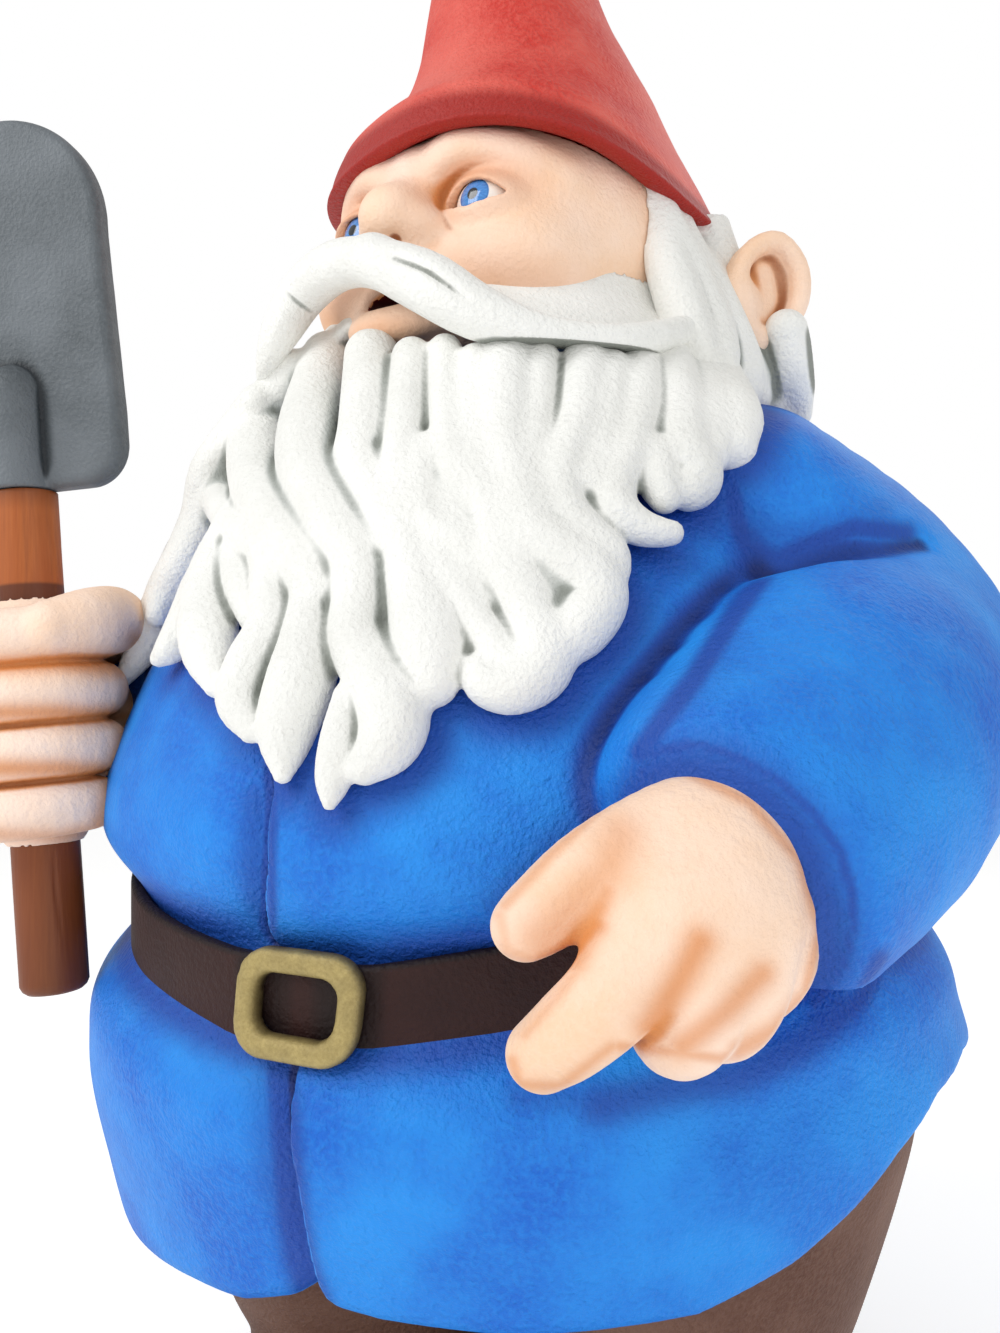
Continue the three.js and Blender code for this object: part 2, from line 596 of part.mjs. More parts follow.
// The right fist closes round the leaning shovel handle.
function alongShovel(solid) {
  return solid.rotate([0, -shovel.lean, 0]).translate(fistCentre.toArray());
}

function fistForm(grow = 0) {
  const halfHeight = 2 * fist.fingerPitch;
  const corePoints = [vector(0, 0, -halfHeight), vector(0, 0, 0), vector(0, 0, halfHeight)];
  const core = bentSolid(corePoints, roundBarShares, fist.coreRadius, { grow });
  const fingers = fistFingerShares.map(([level, start, end, sizeShare]) => {
    const points = [];
    for (let i = 0; i <= turnSteps; i += 1) {
      const turn = radians(lerp(start, end, i / turnSteps));
      const [across, along] = [fist.wrapRadius * Math.cos(turn), fist.wrapRadius * Math.sin(turn)];
      points.push(vector(across, along, level * fist.fingerPitch));
    }
    const radius = fist.fingerRadius * sizeShare;
    return bentSolid(points, fingerShares, radius, { outward: vector(0, 0, 1), sides: lockSides + 1, grow });
  });
  const palm = ball(
    vector(-fist.coreRadius * 0.5, fist.coreRadius * 0.55, 0),
    vector(fist.coreRadius + grow, fist.coreRadius + grow, halfHeight * 0.9 + grow),
    limbSides,
  );
  const thumbPoints = fistThumbShares.map((shares) => vector(...shares).multiplyScalar(fist.coreRadius));
  const thumb = bentSolid(thumbPoints, fingerShares, fist.thumbRadius, {
    outward: vector(0, 0, 1), sides: lockSides + 1, steps: lockSteps, grow,
  });
  const upright = alongShovel(joined(core, palm, thumb, ...fingers));
  const [forearm, cuff] = armPoints(-1, rightArm).slice(-2);
  const palmPoint = fistCentre.clone().add(vector(0, fist.coreRadius * 0.4, 0));
  const wristPoints = [palmPoint, cuff.lerp(forearm, wristDepthShare)];
  const wrist = bentSolid(wristPoints, roundBarShares, fist.wristRadius, { outward: vector(0, 0, 1), grow });
  return upright.add(wrist);
}

// Handle bored through the fist: a straight bore with a ledge where the thicker grip-end stops.
function handleForm(grow = 0, extra = 0) {
  const profile = [
    [0, -shovel.below - extra - grow],
    [shovel.gripRadius - shovel.endChamfer * Number(extra === 0) + grow, -shovel.below - extra - grow],
    [shovel.gripRadius + grow, -shovel.below + shovel.endChamfer - grow],
    [shovel.gripRadius + grow, shovel.ledgeHeight - grow],
    [shovel.handleRadius + grow, shovel.ledgeHeight - grow],
    [shovel.handleRadius + grow, handleTop + grow],
    [shovel.tangRadius + grow, handleTop + grow],
    [shovel.tangRadius + grow, handleTop + shovel.tangLength + grow],
    [0, handleTop + shovel.tangLength + grow],
  ].map(([radius, height]) => new THREE.Vector2(radius, height));
  const geometry = new THREE.LatheGeometry(profile, roundSides);
  geometry.rotateX(Math.PI / 2);
  return toSolid(geometry);
}

// Blade: a round-topped board with a raised tongue up its middle, seen square on from the front.
function bladeForm() {
  const { bladeWidth, bladeHeight, bladeThickness, bladeBevel, bladeShoulder } = shovel;
  const half = bladeWidth / 2 - bladeBevel;
  const height = bladeHeight - 2 * bladeBevel;
  const outline = new THREE.Shape();
  outline.moveTo(-half + bladeShoulder, 0);
  outline.lineTo(half - bladeShoulder, 0);
  outline.quadraticCurveTo(half, 0, half, bladeShoulder);
  outline.lineTo(half * bladeTopShare, height - half * bladeTopShare);
  outline.absellipse(0, height - half * bladeTopShare, half * bladeTopShare, half * bladeTopShare, 0, Math.PI);
  outline.lineTo(-half, bladeShoulder);
  outline.quadraticCurveTo(-half, 0, -half + bladeShoulder, 0);
  const geometry = new THREE.ExtrudeGeometry(outline, {
    depth: bladeThickness - 2 * bladeBevel,
    bevelSize: bladeBevel,
    bevelThickness: bladeBevel,
    bevelSegments: 1,
    curveSegments: 8,
  });
  geometry.rotateX(Math.PI / 2);
  geometry.translate(0, bladeThickness / 2 - bladeBevel, handleTop + gap + bladeBevel);
  const upTo = (length, forward) => [0, length / 2, length].map((rise) => vector(0, -forward, handleTop + rise));
  const tonguePoints = upTo(shovel.tongueLength, bladeThickness / 2 - shovel.tongueDepth / 4);
  const tongue = bentSolid(tonguePoints, roundBarShares, shovel.tongueHalfWidth, {
    sides: lockSides + 3, depth: shovel.tongueDepth,
  });
  const socket = bentSolid(upTo(shovel.tangLength + overrun / 2, 0), roundBarShares, shovel.socketRadius, {
    sides: lockSides + 3,
  });
  return joined(toSolid(geometry), tongue, socket).intersect(farBlock(0, 0, handleTop + gap + farReach / 2));
}

// Head, in a frame tilted back about its middle
const headCentre = vector(0, head.back, headHeight);
const headTurns = new THREE.Euler(-radians(head.tilt), 0, -radians(head.turn), 'ZYX');
const headTilt = new THREE.Quaternion().setFromEuler(headTurns);
const onHead = (x, y, z) => vector(x, y, z).applyQuaternion(headTilt).add(headCentre);

// The head block is sawn flat where the hat sits on it and where it stands on the neck.
const hatSide = (side) => farBlock(0, 0, side * (farReach + gap) / 2)
  .rotate([-hat.tilt, 0, 0])
  .translate([0, hat.back, brimHeight]);
const belowHat = hatSide(-1);
const aboveHat = hatSide(1);
const aboveNeck = farBlock(0, 0, body.neckHeight + gap / 2 + farReach / 2);
const belowNeck = farBlock(0, 0, body.neckHeight - gap / 2 - farReach / 2);

function tiltedBall(x, y, z, radii, grow = 0, sides = smallBallSides, rows = smallBallRows) {
  const solid = ball(vector(0, 0, 0), vector(radii.x + grow, radii.y + grow, radii.z + grow), sides, rows);
  return solid.rotate([-head.tilt, 0, -head.turn]).translate(onHead(x, y, z).toArray());
}

const eyeRadii = vector(head.eyeRadius, head.eyeRadius, head.eyeRadius);
const eyeForm = (side, grow = 0) => tiltedBall(
  side * head.eyeSpread, -head.eyeForward, head.eyeRise, eyeRadii, grow,
);

const skullForm = (grow = 0) => tiltedBall(
  0, 0, 0, vector(head.halfWidth, head.halfDepth, head.halfHeight), grow, bodySides - 6, ballRows + 4,
);

function headForm(grow = 0) {
  const skull = skullForm(grow);
  const noseRadii = vector(head.noseHalfWidth, head.noseHalfDepth, head.noseHalfHeight);
  const nose = tiltedBall(0, -head.noseForward, -head.noseDrop, noseRadii, grow, ballSides);
  const bridgePoints = [
    onHead(0, -head.browForward, head.browRise),
    onHead(0, -head.noseForward, -head.noseDrop),
  ];
  const bridge = bentSolid(bridgePoints, roundBarShares, head.noseHalfWidth * 0.55, {
    grow, sides: lockSides + 1, steps: lockSteps,
  });
  const features = [nose, bridge];
  for (const side of [1, -1]) {
    const wing = vector(head.wingRadius, head.wingRadius, head.wingRadius);
    const wingForward = head.noseForward - head.wingRadius * 0.5;
    features.push(tiltedBall(side * head.wingSpread, -wingForward, -head.wingDrop, wing, grow));
    const cheek = vector(head.cheekRadius, head.cheekRadius, head.cheekRadius);
    features.push(tiltedBall(side * head.cheekSpread, -head.cheekForward, -head.cheekDrop, cheek, grow));
    const browPoints = browShares.map(([across, forward, rise]) => onHead(
      side * across * head.browSpan, -forward * head.browForward, rise * head.browRise,
    ));
    features.push(bentSolid(browPoints, roundBarShares, head.browRadius, { grow, sides: lockSides + 2 }));
  }
  const lipPoints = lipShares.map(([across, forward, drop]) => onHead(
    across * head.lipHalfSpan, -forward * head.lipForward, -drop * head.lipDrop,
  ));
  features.push(bentSolid(lipPoints, roundBarShares, head.lipRadius, {
    grow, sides: lockSides + 2, outward: vector(0, 0, 1),
  }));
  return joined(skull, ...features).intersect(belowHat).intersect(aboveNeck);
}

const mouthForm = () => tiltedBall(
  0, -head.lipForward, -head.mouthDrop, vector(head.mouthHalfWidth, head.mouthHalfWidth, head.mouthHalfHeight), 0,
);

// Ear: a bent ring round a hollow cup
function earForm(side, grow = 0) {
  const { halfHeight, halfDepth, halfWidth } = ear;
  const shellRadii = vector(halfWidth * 0.62 + grow, halfDepth + grow, halfHeight + grow);
  const shell = ball(vector(0, 0, 0), shellRadii, limbSides, ballRows - 2);
  const lobe = ball(
    vector(0, -halfDepth * 0.25, -halfHeight * 0.72),
    vector(halfWidth * 0.5 + grow, halfDepth * 0.5 + grow, halfHeight * 0.36 + grow),
  );
  let solid = joined(shell, lobe);
  if (grow === 0) {
    const cup = ball(
      vector(halfWidth * 0.62, -halfDepth * 0.12, halfHeight * 0.08),
      vector(ear.cupSink, halfDepth * 0.62, halfHeight * 0.66),
    );
    solid = solid.subtract(cup);
  }
  if (side < 0) solid = solid.mirror([1, 0, 0]);
  return solid.rotate([-ear.tilt, 0, -side * ear.splay])
    .translate([side * ear.out, ear.back, headHeight - ear.drop])
    .rotate([0, 0, -head.turn]);
}

// Hair: a pear-shaped mass round the back of the head, with its front edge just before the ears
function hairForm(grow = 0) {
  const line = new THREE.CatmullRomCurve3([
    vector(hair.napeHalfWidth, hair.napeHalfDepth, headHeight - hair.napeDrop),
    vector(hair.bulgeHalfWidth, hair.bulgeHalfDepth, headHeight - hair.bulgeDrop),
    vector(hair.earHalfWidth, hair.earHalfDepth, headHeight),
    vector(hair.crownHalfWidth, hair.crownHalfDepth, headHeight + hair.crownRise),
  ], false, 'centripetal').getPoints(hairRows);
  const rings = line.map((point) => ({ z: point.z, w: point.x + grow, d: point.y + grow }));
  rings[0].z -= grow;
  const behind = farBlock(0, farReach / 2, 0)
    .rotate([hair.rake, 0, 0])
    .translate([0, -hair.front - grow, headHeight])
    .rotate([0, 0, -head.turn]);
  return ringSolid(rings, bodySides - 6).intersect(behind).intersect(belowHat);
}

// Where a lock of the beard lies: an angle from the front, a height and how far it stands off
function beardPoint(angle, height, lift) {
  const jaw = head.halfWidth + beard.jawReach;
  const chest = bodyReach(angle, height) + beard.thickness * 0.45;
  const reach = Math.max(jaw, chest) + lift;
  return vector(reach * Math.sin(angle), -reach * Math.cos(angle), height);
}

function beardLock([startAngle, endAngle, topShare, endShare, sizeShare, wave]) {
  const points = [];
  for (let i = 0; i <= turnSteps; i += 1) {
    const share = i / turnSteps;
    const swing = wave * Math.sin(share * Math.PI * swingShare);
    const angle = radians(lerp(startAngle, endAngle, share) + swing);
    const height = beardTop - beard.drop * lerp(topShare, endShare, share);
    points.push(beardPoint(angle, height, -beard.thickness * 0.12));
  }
  const middle = points[turnSteps / 2];
  const outward = vector(middle.x, middle.y, 0).normalize();
  return bentSolid(points, lockShares, beard.lockWidth * sizeShare / 2, {
    depth: beard.thickness * sizeShare / 2, outward, sides: lockSides, steps: lockSteps,
  });
}

// The mass that the locks lie on, round the front of the chest and jaw, longest at the middle.
function beardBase() {
  const foot = beardTop - beard.drop;
  const rings = [];
  for (let i = 0; i <= beardRows; i += 1) rings.push({ z: lerp(foot, beardTop, i / beardRows), w: 1, d: 1 });
  const base = ringSolid(rings, bodySides, (point, across, along) => {
    if (Math.hypot(across, along) === 0) return;
    const angle = Math.atan2(across, -along);
    const share = (beardTop - point.z) / beard.drop;
    const height = beardTop - beard.drop * share * sharesAt(beardFootShares, angle / Math.PI);
    point.copy(beardPoint(angle, height, -beard.baseInset));
  });
  const front = farBlock(0, beard.backReach - farReach / 2, 0).rotate([0, 0, -head.turn]);
  return base.intersect(front);
}

function moustacheForm(grow = 0) {
  const { radius, depth, span, forward, drop, rise, sweepBack } = moustache;
  const wings = [1, -1].map((side) => {
    const points = moustacheShares.map(([across, back, down]) => onHead(
      side * across * span, -forward + back * sweepBack, -head.noseDrop - head.noseHalfHeight + rise - down * drop,
    ));
    return bentSolid(points, moustacheRadiusShares, radius, { depth, sides: lockSides + 3, steps: sleeveSteps, grow });
  });
  return joined(...wings);
}

// Hat: a tall cone whose brim is rolled outwards at the front and right, and runs straight at the back and left
function hatForm() {
  const { brimRadius, height, brimRoll, tilt, rollTurn } = hat;
  const slope = Math.tan(radians(tilt));
  const rings = hatShares.map(([radiusShare, heightShare, rolledShare]) => ({
    z: heightShare * height, w: radiusShare * brimRadius, d: radiusShare * brimRadius, rolled: rolledShare / radiusShare,
  }));
  rings[0].w = brimRadius - brimRoll;
  rings[0].d = brimRadius - brimRoll;
  return ringSolid(rings, bodySides - 6, (point, across, along, ring) => {
    const turn = Math.atan2(across, -along) + radians(rollTurn);
    const narrowing = lerp(1, ring.rolled, (1 + Math.cos(turn)) / 2);
    point.x *= narrowing;
    point.y *= narrowing;
    point.z -= slope * point.y * (1 - Math.min(point.z / height, 1)) ** 2;
  }).translate([0, hat.back, brimHeight]);
}

function buckleForm() {
  const { width, height, frame, thickness, cornerRadius, bevel } = buckle;
  const roundedRect = (path, halfWidth, halfHeight, radius, clockwise) => {
    const [a, b] = [halfWidth - radius, halfHeight - radius];
    const corners = [[a, b], [-a, b], [-a, -b], [a, -b]].map(([x, y], i) => [x, y, i * Math.PI / 2]);
    if (clockwise) corners.reverse();
    for (const [x, y, turn] of corners) {
      const ends = [turn, turn + Math.PI / 2];
      if (clockwise) ends.reverse();
      path.absarc(x, y, radius, ...ends, clockwise);
    }
    return path;
  };
  const [w, h] = [width / 2, height / 2];
  const outline = roundedRect(new THREE.Shape(), w - bevel, h - bevel, cornerRadius - bevel, false);
  const inner = cornerRadius * 0.5;
  outline.holes.push(roundedRect(new THREE.Path(), w - frame + bevel, h - frame + bevel, inner, true));
  const geometry = new THREE.ExtrudeGeometry(outline, {
    depth: thickness - 2 * bevel, bevelSize: bevel, bevelThickness: bevel, bevelSegments: 1, curveSegments: 4,
  });
  const drop = Math.tan(radians(waistTilt)) * body.waistHalfDepth;
  const surface = bodyAt(body.waistHeight - drop).d + belt.thickness - belt.seat + gap;
  geometry.rotateX(Math.PI / 2);
  geometry.rotateX(-radians(buckle.lean));
  const bow = Math.asin(buckle.offset / bodyAt(body.waistHeight).w);
  geometry.rotateZ(bow);
  geometry.translate(buckle.offset, -surface - bevel * 0.5, body.waistHeight - drop);
  return toSolid(geometry);
}

// Assembly
const group = new THREE.Group();
const add = (solid, name, colour, roughness = 0.7, metalness = 0) => {
  group.add(toMesh(solid, name, colour, roughness, metalness));
};

const steel = [steelColour, 0.45, 1];
add(plateSolid(), 'base_plate', ...steel);
add(hipBar(), 'hip_bar', ...steel);
add(mast(), 'spine_mast', ...steel);
add(waistPlate(), 'waist_key_plate', ...steel);
add(neckKey(), 'neck_key_plate', ...steel);

const carvedGap = gap + carvingTolerance;
const headSolid = headForm().simplify(carvingTolerance);
const headGrown = headForm(carvedGap);
const handSolid = leftHandForm().simplify(carvingTolerance / 2);
const fistSolid = fistForm().simplify(carvingTolerance / 2);
const grownHand = leftHandForm(carvedGap);
const grownFist = fistForm(carvedGap);
const grownBody = bodyForm(gap);
const grownBelt = beltBand(gap);

for (const [side, label, arm, rod] of [[1, 'left', leftArm, leftRod], [-1, 'right', rightArm, rightRod]]) {
  add(legPost(side), `${label}_leg_post`, ...steel);
  add(rod(), `${label}_arm_rod`, ...steel);
  add(soleForm(side).subtract(legPost(side, gap)), `${label}_boot_sole`, soleColour, 0.85);
  add(bootForm(side).subtract(legPost(side, gap)), `${label}_boot`, soleColour, 0.6);
  add(
    trouserForm(side).subtract(bootForm(side, gap)).subtract(steelwork),
    `${label}_trouser_leg`, brownColour, 0.85,
  );
  const handGrown = side > 0 ? grownHand : grownFist;
  add(
    sleeveForm(side, arm).subtract(grownBody).subtract(handGrown).subtract(steelwork).subtract(grownBelt),
    `${label}_sleeve`, blueColour,
  );
}

const trousers = joined(trouserForm(1, gap), trouserForm(-1, gap));
const underSkirt = ball(
  vector(0, 0, body.hemHeight),
  vector(body.hemHalfWidth - body.hemWall, body.hemHalfDepth - body.hemWall, body.hemRecess + body.hemRise / 2),
  ballSides,
);
const tunic = wholeBody.subtract(groove).subtract(beltSeat);
add(
  tunic.intersect(belowWaist).subtract(trousers).subtract(underSkirt).subtract(steelwork),
  'tunic_skirt', blueColour,
);
add(tunic.intersect(aboveWaist).intersect(belowNeck).subtract(steelwork), 'torso', blueColour);
add(beltBand().subtract(bodyForm(-belt.seat)), 'belt', leatherColour, 0.6);
add(buckleForm().subtract(grownBelt).subtract(grownBody), 'buckle', brassColour, 0.5, 0.4);

const eyes = joined(eyeForm(1, gap), eyeForm(-1, gap));
const ears = joined(earForm(1, gap), earForm(-1, gap));
const grownHair = hairForm(gap);
const moustacheGrown = moustacheForm(gap);
add(
  headSolid.subtract(eyes).subtract(mouthForm()).subtract(steelwork).subtract(ears),
  'head', skinColour,
);
for (const [side, label] of [[1, 'left'], [-1, 'right']]) {
  add(eyeForm(side), `${label}_eye`, eyeColour, 0.3);
  add(earForm(side), `${label}_ear`, skinColour);
}
add(handSolid.subtract(leftRod(gap)).subtract(grownBody), 'left_hand', skinColour);

const shovelBore = alongShovel(handleForm(fist.boreClearance, overrun));
add(fistSolid.subtract(rightRod(gap)).subtract(shovelBore).subtract(grownBody), 'right_fist', skinColour);
add(alongShovel(handleForm()), 'shovel_handle', woodColour, 0.75);
const turnedBlade = bladeForm().rotate([0, 0, shovel.bladeTurn]).subtract(handleForm(gap));
add(alongShovel(turnedBlade), 'shovel_blade', bladeColour, 0.5, 0.2);

const sleeves = joined(sleeveForm(1, leftArm, gap), sleeveForm(-1, rightArm, gap));
add(
  hairForm().subtract(skullForm(carvedGap)).subtract(ears).subtract(steelwork).subtract(grownBody)
    .subtract(sleeves),
  'hair', whiteColour,
);
const beardLocks = joined(beardBase(), ...beardLockShares.map(beardLock)).simplify(2 * carvingTolerance);
add(
  beardLocks.subtract(headGrown).subtract(grownBody).subtract(grownHair).subtract(sleeves).subtract(moustacheGrown)
    .subtract(ears).subtract(mouthForm()),
  'beard', whiteColour,
);
add(moustacheForm().subtract(headGrown), 'moustache', whiteColour);
add(hatForm().intersect(aboveHat).subtract(mast(gap)), 'hat', redColour);

export default group;
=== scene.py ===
import math

import bpy
import numpy as np
import openvdb
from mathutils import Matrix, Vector, kdtree


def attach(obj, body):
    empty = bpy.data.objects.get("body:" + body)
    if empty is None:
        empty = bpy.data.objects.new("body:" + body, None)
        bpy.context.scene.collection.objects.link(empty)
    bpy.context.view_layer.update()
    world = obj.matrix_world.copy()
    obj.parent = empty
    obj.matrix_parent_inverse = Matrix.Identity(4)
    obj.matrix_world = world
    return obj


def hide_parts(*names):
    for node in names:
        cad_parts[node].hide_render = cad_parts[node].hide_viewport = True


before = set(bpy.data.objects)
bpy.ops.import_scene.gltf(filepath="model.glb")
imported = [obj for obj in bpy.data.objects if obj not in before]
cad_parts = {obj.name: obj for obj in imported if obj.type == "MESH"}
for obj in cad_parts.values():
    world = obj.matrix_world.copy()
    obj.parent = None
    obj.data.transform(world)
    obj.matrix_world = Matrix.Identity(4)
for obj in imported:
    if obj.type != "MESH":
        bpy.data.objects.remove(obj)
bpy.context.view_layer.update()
print("frame loaded")

# Sizes are in millimetres until a mesh is made, and angles are in degrees from the front towards the figure's left.
mm = 0.001
mirrorSides = {"left": 1, "right": -1}


# Camera, set up from the photograph's view
view = {
    "turn": 26, "distance": 1030, "height": 700, "nearest": 350, "farthest": 1450,
    "photoSize": (1000, 1333), "focalPixels": 1154, "centrePixel": (520, 666), "film": 36,
}
viewTurn = math.radians(view["turn"])
towardCamera = np.array([math.sin(viewTurn), -math.cos(viewTurn), 0])
cameraRight = np.array([math.cos(viewTurn), math.sin(viewTurn), 0])
cameraPlace = towardCamera * view["distance"] + np.array([0, 0, view["height"]])

lens = bpy.data.cameras.new("camera")
camera = bpy.data.objects.new("camera", lens)
bpy.context.scene.collection.objects.link(camera)
camera.location = Vector(cameraPlace * mm)
camera.rotation_euler = (math.pi / 2, 0, viewTurn)
lens.sensor_width = view["film"]
lens.lens = view["focalPixels"] / view["photoSize"][1] * view["film"]
lens.shift_x = (view["photoSize"][0] / 2 - view["centrePixel"][0]) / view["photoSize"][1]
lens.clip_start = 0.02
bpy.context.scene.camera = camera


# Carving tools: a block of foam is a grid of distances, negative inside
farAway = 60.0
margin = 42.0


def foamBlock(low, high, cell):
    cell = cell * 1
    low = np.array(low, np.float32)
    counts = np.ceil((np.array(high) - low) / cell).astype(int) + 1
    return {"low": low, "cell": cell, "field": np.full(counts, farAway, np.float32)}


def cellsNear(block, low=None, high=None):
    shape = np.array(block["field"].shape)
    if low is None:
        first, last = np.zeros(3, int), shape
    else:
        first = np.clip(np.floor((np.array(low) - block["low"]) / block["cell"]).astype(int), 0, shape)
        last = np.clip(np.ceil((np.array(high) - block["low"]) / block["cell"]).astype(int) + 1, 0, shape)
    lines = [block["low"][i] + block["cell"] * np.arange(first[i], last[i], dtype=np.float32) for i in range(3)]
    part = tuple(slice(a, b) for a, b in zip(first, last))
    return part, np.meshgrid(*lines, indexing="ij", sparse=True)


def allCells(block):
    return cellsNear(block)[1]


def softJoin(one, other, soft):
    if soft <= 0:
        return np.minimum(one, other)
    mix = np.clip(0.5 + 0.5 * (other - one) / soft, 0, 1)
    return other * (1 - mix) + one * mix - soft * mix * (1 - mix)


def softCut(one, other, soft):
    return -softJoin(-one, other, soft)


def smoothLine(points, count):
    rows = np.array(points, float)
    rows = np.vstack([2 * rows[0] - rows[1], rows, 2 * rows[-1] - rows[-2]])
    spots = np.linspace(0, len(rows) - 3 - 1e-6, count)
    out = []
    for spot in spots:
        i = int(spot)
        t = spot - i
        a, b, c, d = rows[i:i + 4]
        bend = 2 * b + (c - a) * t + (2 * a - 5 * b + 4 * c - d) * t * t
        out.append(0.5 * (bend + (3 * b - a - 3 * c + d) * t ** 3))
    return np.array(out)


def ropeField(cells, line):
    x, y, z = cells
    best = None
    for start, end in zip(line[:-1], line[1:]):
        axis = (end[:3] - start[:3]).astype(np.float32)
        length = max(float(axis @ axis), 1e-6)
        dx, dy, dz = x - np.float32(start[0]), y - np.float32(start[1]), z - np.float32(start[2])
        share = np.clip((dx * axis[0] + dy * axis[1] + dz * axis[2]) / length, 0, 1)
        away = np.sqrt((dx - share * axis[0]) ** 2 + (dy - share * axis[1]) ** 2 + (dz - share * axis[2]) ** 2)
        away -= np.float32(start[3]) + share * np.float32(end[3] - start[3])
        best = away if best is None else np.minimum(best, away)
    return best


def ballField(cells, centre, radii, turn=None):
    x, y, z = (axis - np.float32(c) for axis, c in zip(cells, centre))
    if turn is not None:
        t = np.array(turn, np.float32)
        x, y, z = (t[0][i] * x + t[1][i] * y + t[2][i] * z for i in range(3))
    rx, ry, rz = (np.float32(r) for r in radii)
    unit = np.sqrt((x / rx) ** 2 + (y / ry) ** 2 + (z / rz) ** 2)
    slope = np.sqrt((x / rx ** 2) ** 2 + (y / ry ** 2) ** 2 + (z / rz ** 2) ** 2)
    return unit * (unit - 1) / np.maximum(slope, 1e-6)


def addField(block, makeField, soft, low=None, high=None, cut=False):
    part, cells = cellsNear(block, low, high)
    if 0 in block["field"][part].shape:
        return
    change = softCut if cut else softJoin
    block["field"][part] = change(block["field"][part], makeField(cells), soft)


def addRope(block, points, soft=4, steps=14, cut=False):
    line = smoothLine(points, steps)
    line[:, 3] = np.maximum(line[:, 3], 1)
    reach = line[:, 3].max() + (soft if cut else margin)
    addField(block, lambda cells: ropeField(cells, line), soft,
             line[:, :3].min(0) - reach, line[:, :3].max(0) + reach, cut)


def addBall(block, centre, radii, soft=4, turn=None, cut=False):
    reach = max(radii) + (soft if cut else margin)
    addField(block, lambda cells: ballField(cells, centre, radii, turn), soft,
             np.array(centre) - reach, np.array(centre) + reach, cut)


def blurred(field, radius):
    out = np.clip(field, -farAway / 2, farAway / 2).astype(np.float64)
    for _ in range(2):
        for axis in range(3):
            padded = np.pad(out, [(radius + 1, radius) if i == axis else (0, 0) for i in range(3)], mode="edge")
            total = np.cumsum(padded, axis=axis)
            count = out.shape[axis]
            upper = np.take(total, range(2 * radius + 1, 2 * radius + 1 + count), axis=axis)
            lower = np.take(total, range(0, count), axis=axis)
            out = (upper - lower) / (2 * radius + 1)
    return out.astype(np.float32)


def sampled(field, spots):
    first = np.clip(np.floor(spots).astype(int), 0, np.array(field.shape) - 2)
    part = (spots - first).astype(np.float32)
    value = 0
    for corner in range(8):
        step = np.array([corner & 1, corner >> 1 & 1, corner >> 2 & 1])
        weight = np.prod(np.where(step, part, 1 - part), axis=1)
        at = first + step
        value = value + weight * field[at[:, 0], at[:, 1], at[:, 2]]
    return value


def largestShell(count, faces):
    label = np.arange(count)
    pairs = np.vstack([faces[:, [0, 1]], faces[:, [1, 2]], faces[:, [2, 3]], faces[:, [3, 0]]])
    while True:
        lowest = np.minimum(label[pairs[:, 0]], label[pairs[:, 1]])
        fresh = label.copy()
        np.minimum.at(fresh, pairs[:, 0], lowest)
        np.minimum.at(fresh, pairs[:, 1], lowest)
        fresh = fresh[fresh]
        if (fresh == label).all():
            break
        label = fresh
    shell = label[faces[:, 0]]
    values, sizes = np.unique(shell, return_counts=True)
    return shell == values[np.argmax(sizes)]


def quadMesh(name, points, faces, values=None):
    mesh = bpy.data.meshes.new(name)
    mesh.vertices.add(len(points))
    mesh.vertices.foreach_set("co", (np.asarray(points) * mm).astype(np.float32).ravel())
    if isinstance(faces, list):
        sides = np.array([len(face) for face in faces])
        corners = np.concatenate([np.asarray(face) for face in faces])
    else:
        sides, corners = np.full(len(faces), faces.shape[1]), faces.ravel()
    mesh.loops.add(len(corners))
    mesh.loops.foreach_set("vertex_index", corners.astype(np.int32))
    mesh.polygons.add(len(sides))
    mesh.polygons.foreach_set("loop_start", np.concatenate([[0], np.cumsum(sides)[:-1]]).astype(np.int32))
    mesh.update(calc_edges=True)
    for key, value in (values or {}).items():
        layer = mesh.attributes.new(key, "FLOAT", "POINT")
        layer.data.foreach_set("value", np.asarray(value, np.float32))
    mesh.shade_smooth()
    piece = bpy.data.objects.new(name, mesh)
    bpy.context.scene.collection.objects.link(piece)
    return piece


# Cut the surface out of a block, with two attributes: sharp hollows and wide hollows, 0 to 1, which the paints darken
# with painted shade.
def carvedPiece(block, name, fine=7, wide=20, place=None):
    grid = openvdb.FloatGrid(farAway)
    grid.copyFromArray(np.ascontiguousarray(block["field"]))
    spots, faces = grid.convertToQuads(0)
    faces = np.asarray(faces)[largestShell(len(spots), np.asarray(faces))]
    used, faces = np.unique(faces, return_inverse=True)
    faces = faces.reshape(-1, 4)
    spots = np.asarray(spots)[used]
    values = {}
    for key, reach, scale in (("hollow", fine, 0.22), ("wideShade", wide, 0.16)):
        radius = max(1, round(reach / block["cell"] / 1.4))
        depth = -sampled(blurred(block["field"], radius), spots)
        values[key] = np.clip(depth / (reach * scale), -1, 1)
    points = block["low"] + spots * block["cell"]
    if place is not None:
        points = place(points)
    return quadMesh(name, points, faces, values)


def turnAbout(axis, degrees):
    a = math.radians(degrees)
    c, s = math.cos(a), math.sin(a)
    if axis == "x":
        return np.array([[1, 0, 0], [0, c, -s], [0, s, c]])
    if axis == "y":
        return np.array([[c, 0, s], [0, 1, 0], [-s, 0, c]])
    return np.array([[c, -s, 0], [s, c, 0], [0, 0, 1]])


def pointsOf(piece):
    spots = np.zeros(len(piece.data.vertices) * 3, np.float32)
    piece.data.vertices.foreach_get("co", spots)
    return spots.reshape(-1, 3) / mm


def setValues(piece, key, values):
    layer = piece.data.attributes.get(key) or piece.data.attributes.new(key, "FLOAT", "POINT")
    layer.data.foreach_set("value", np.asarray(values, np.float32))


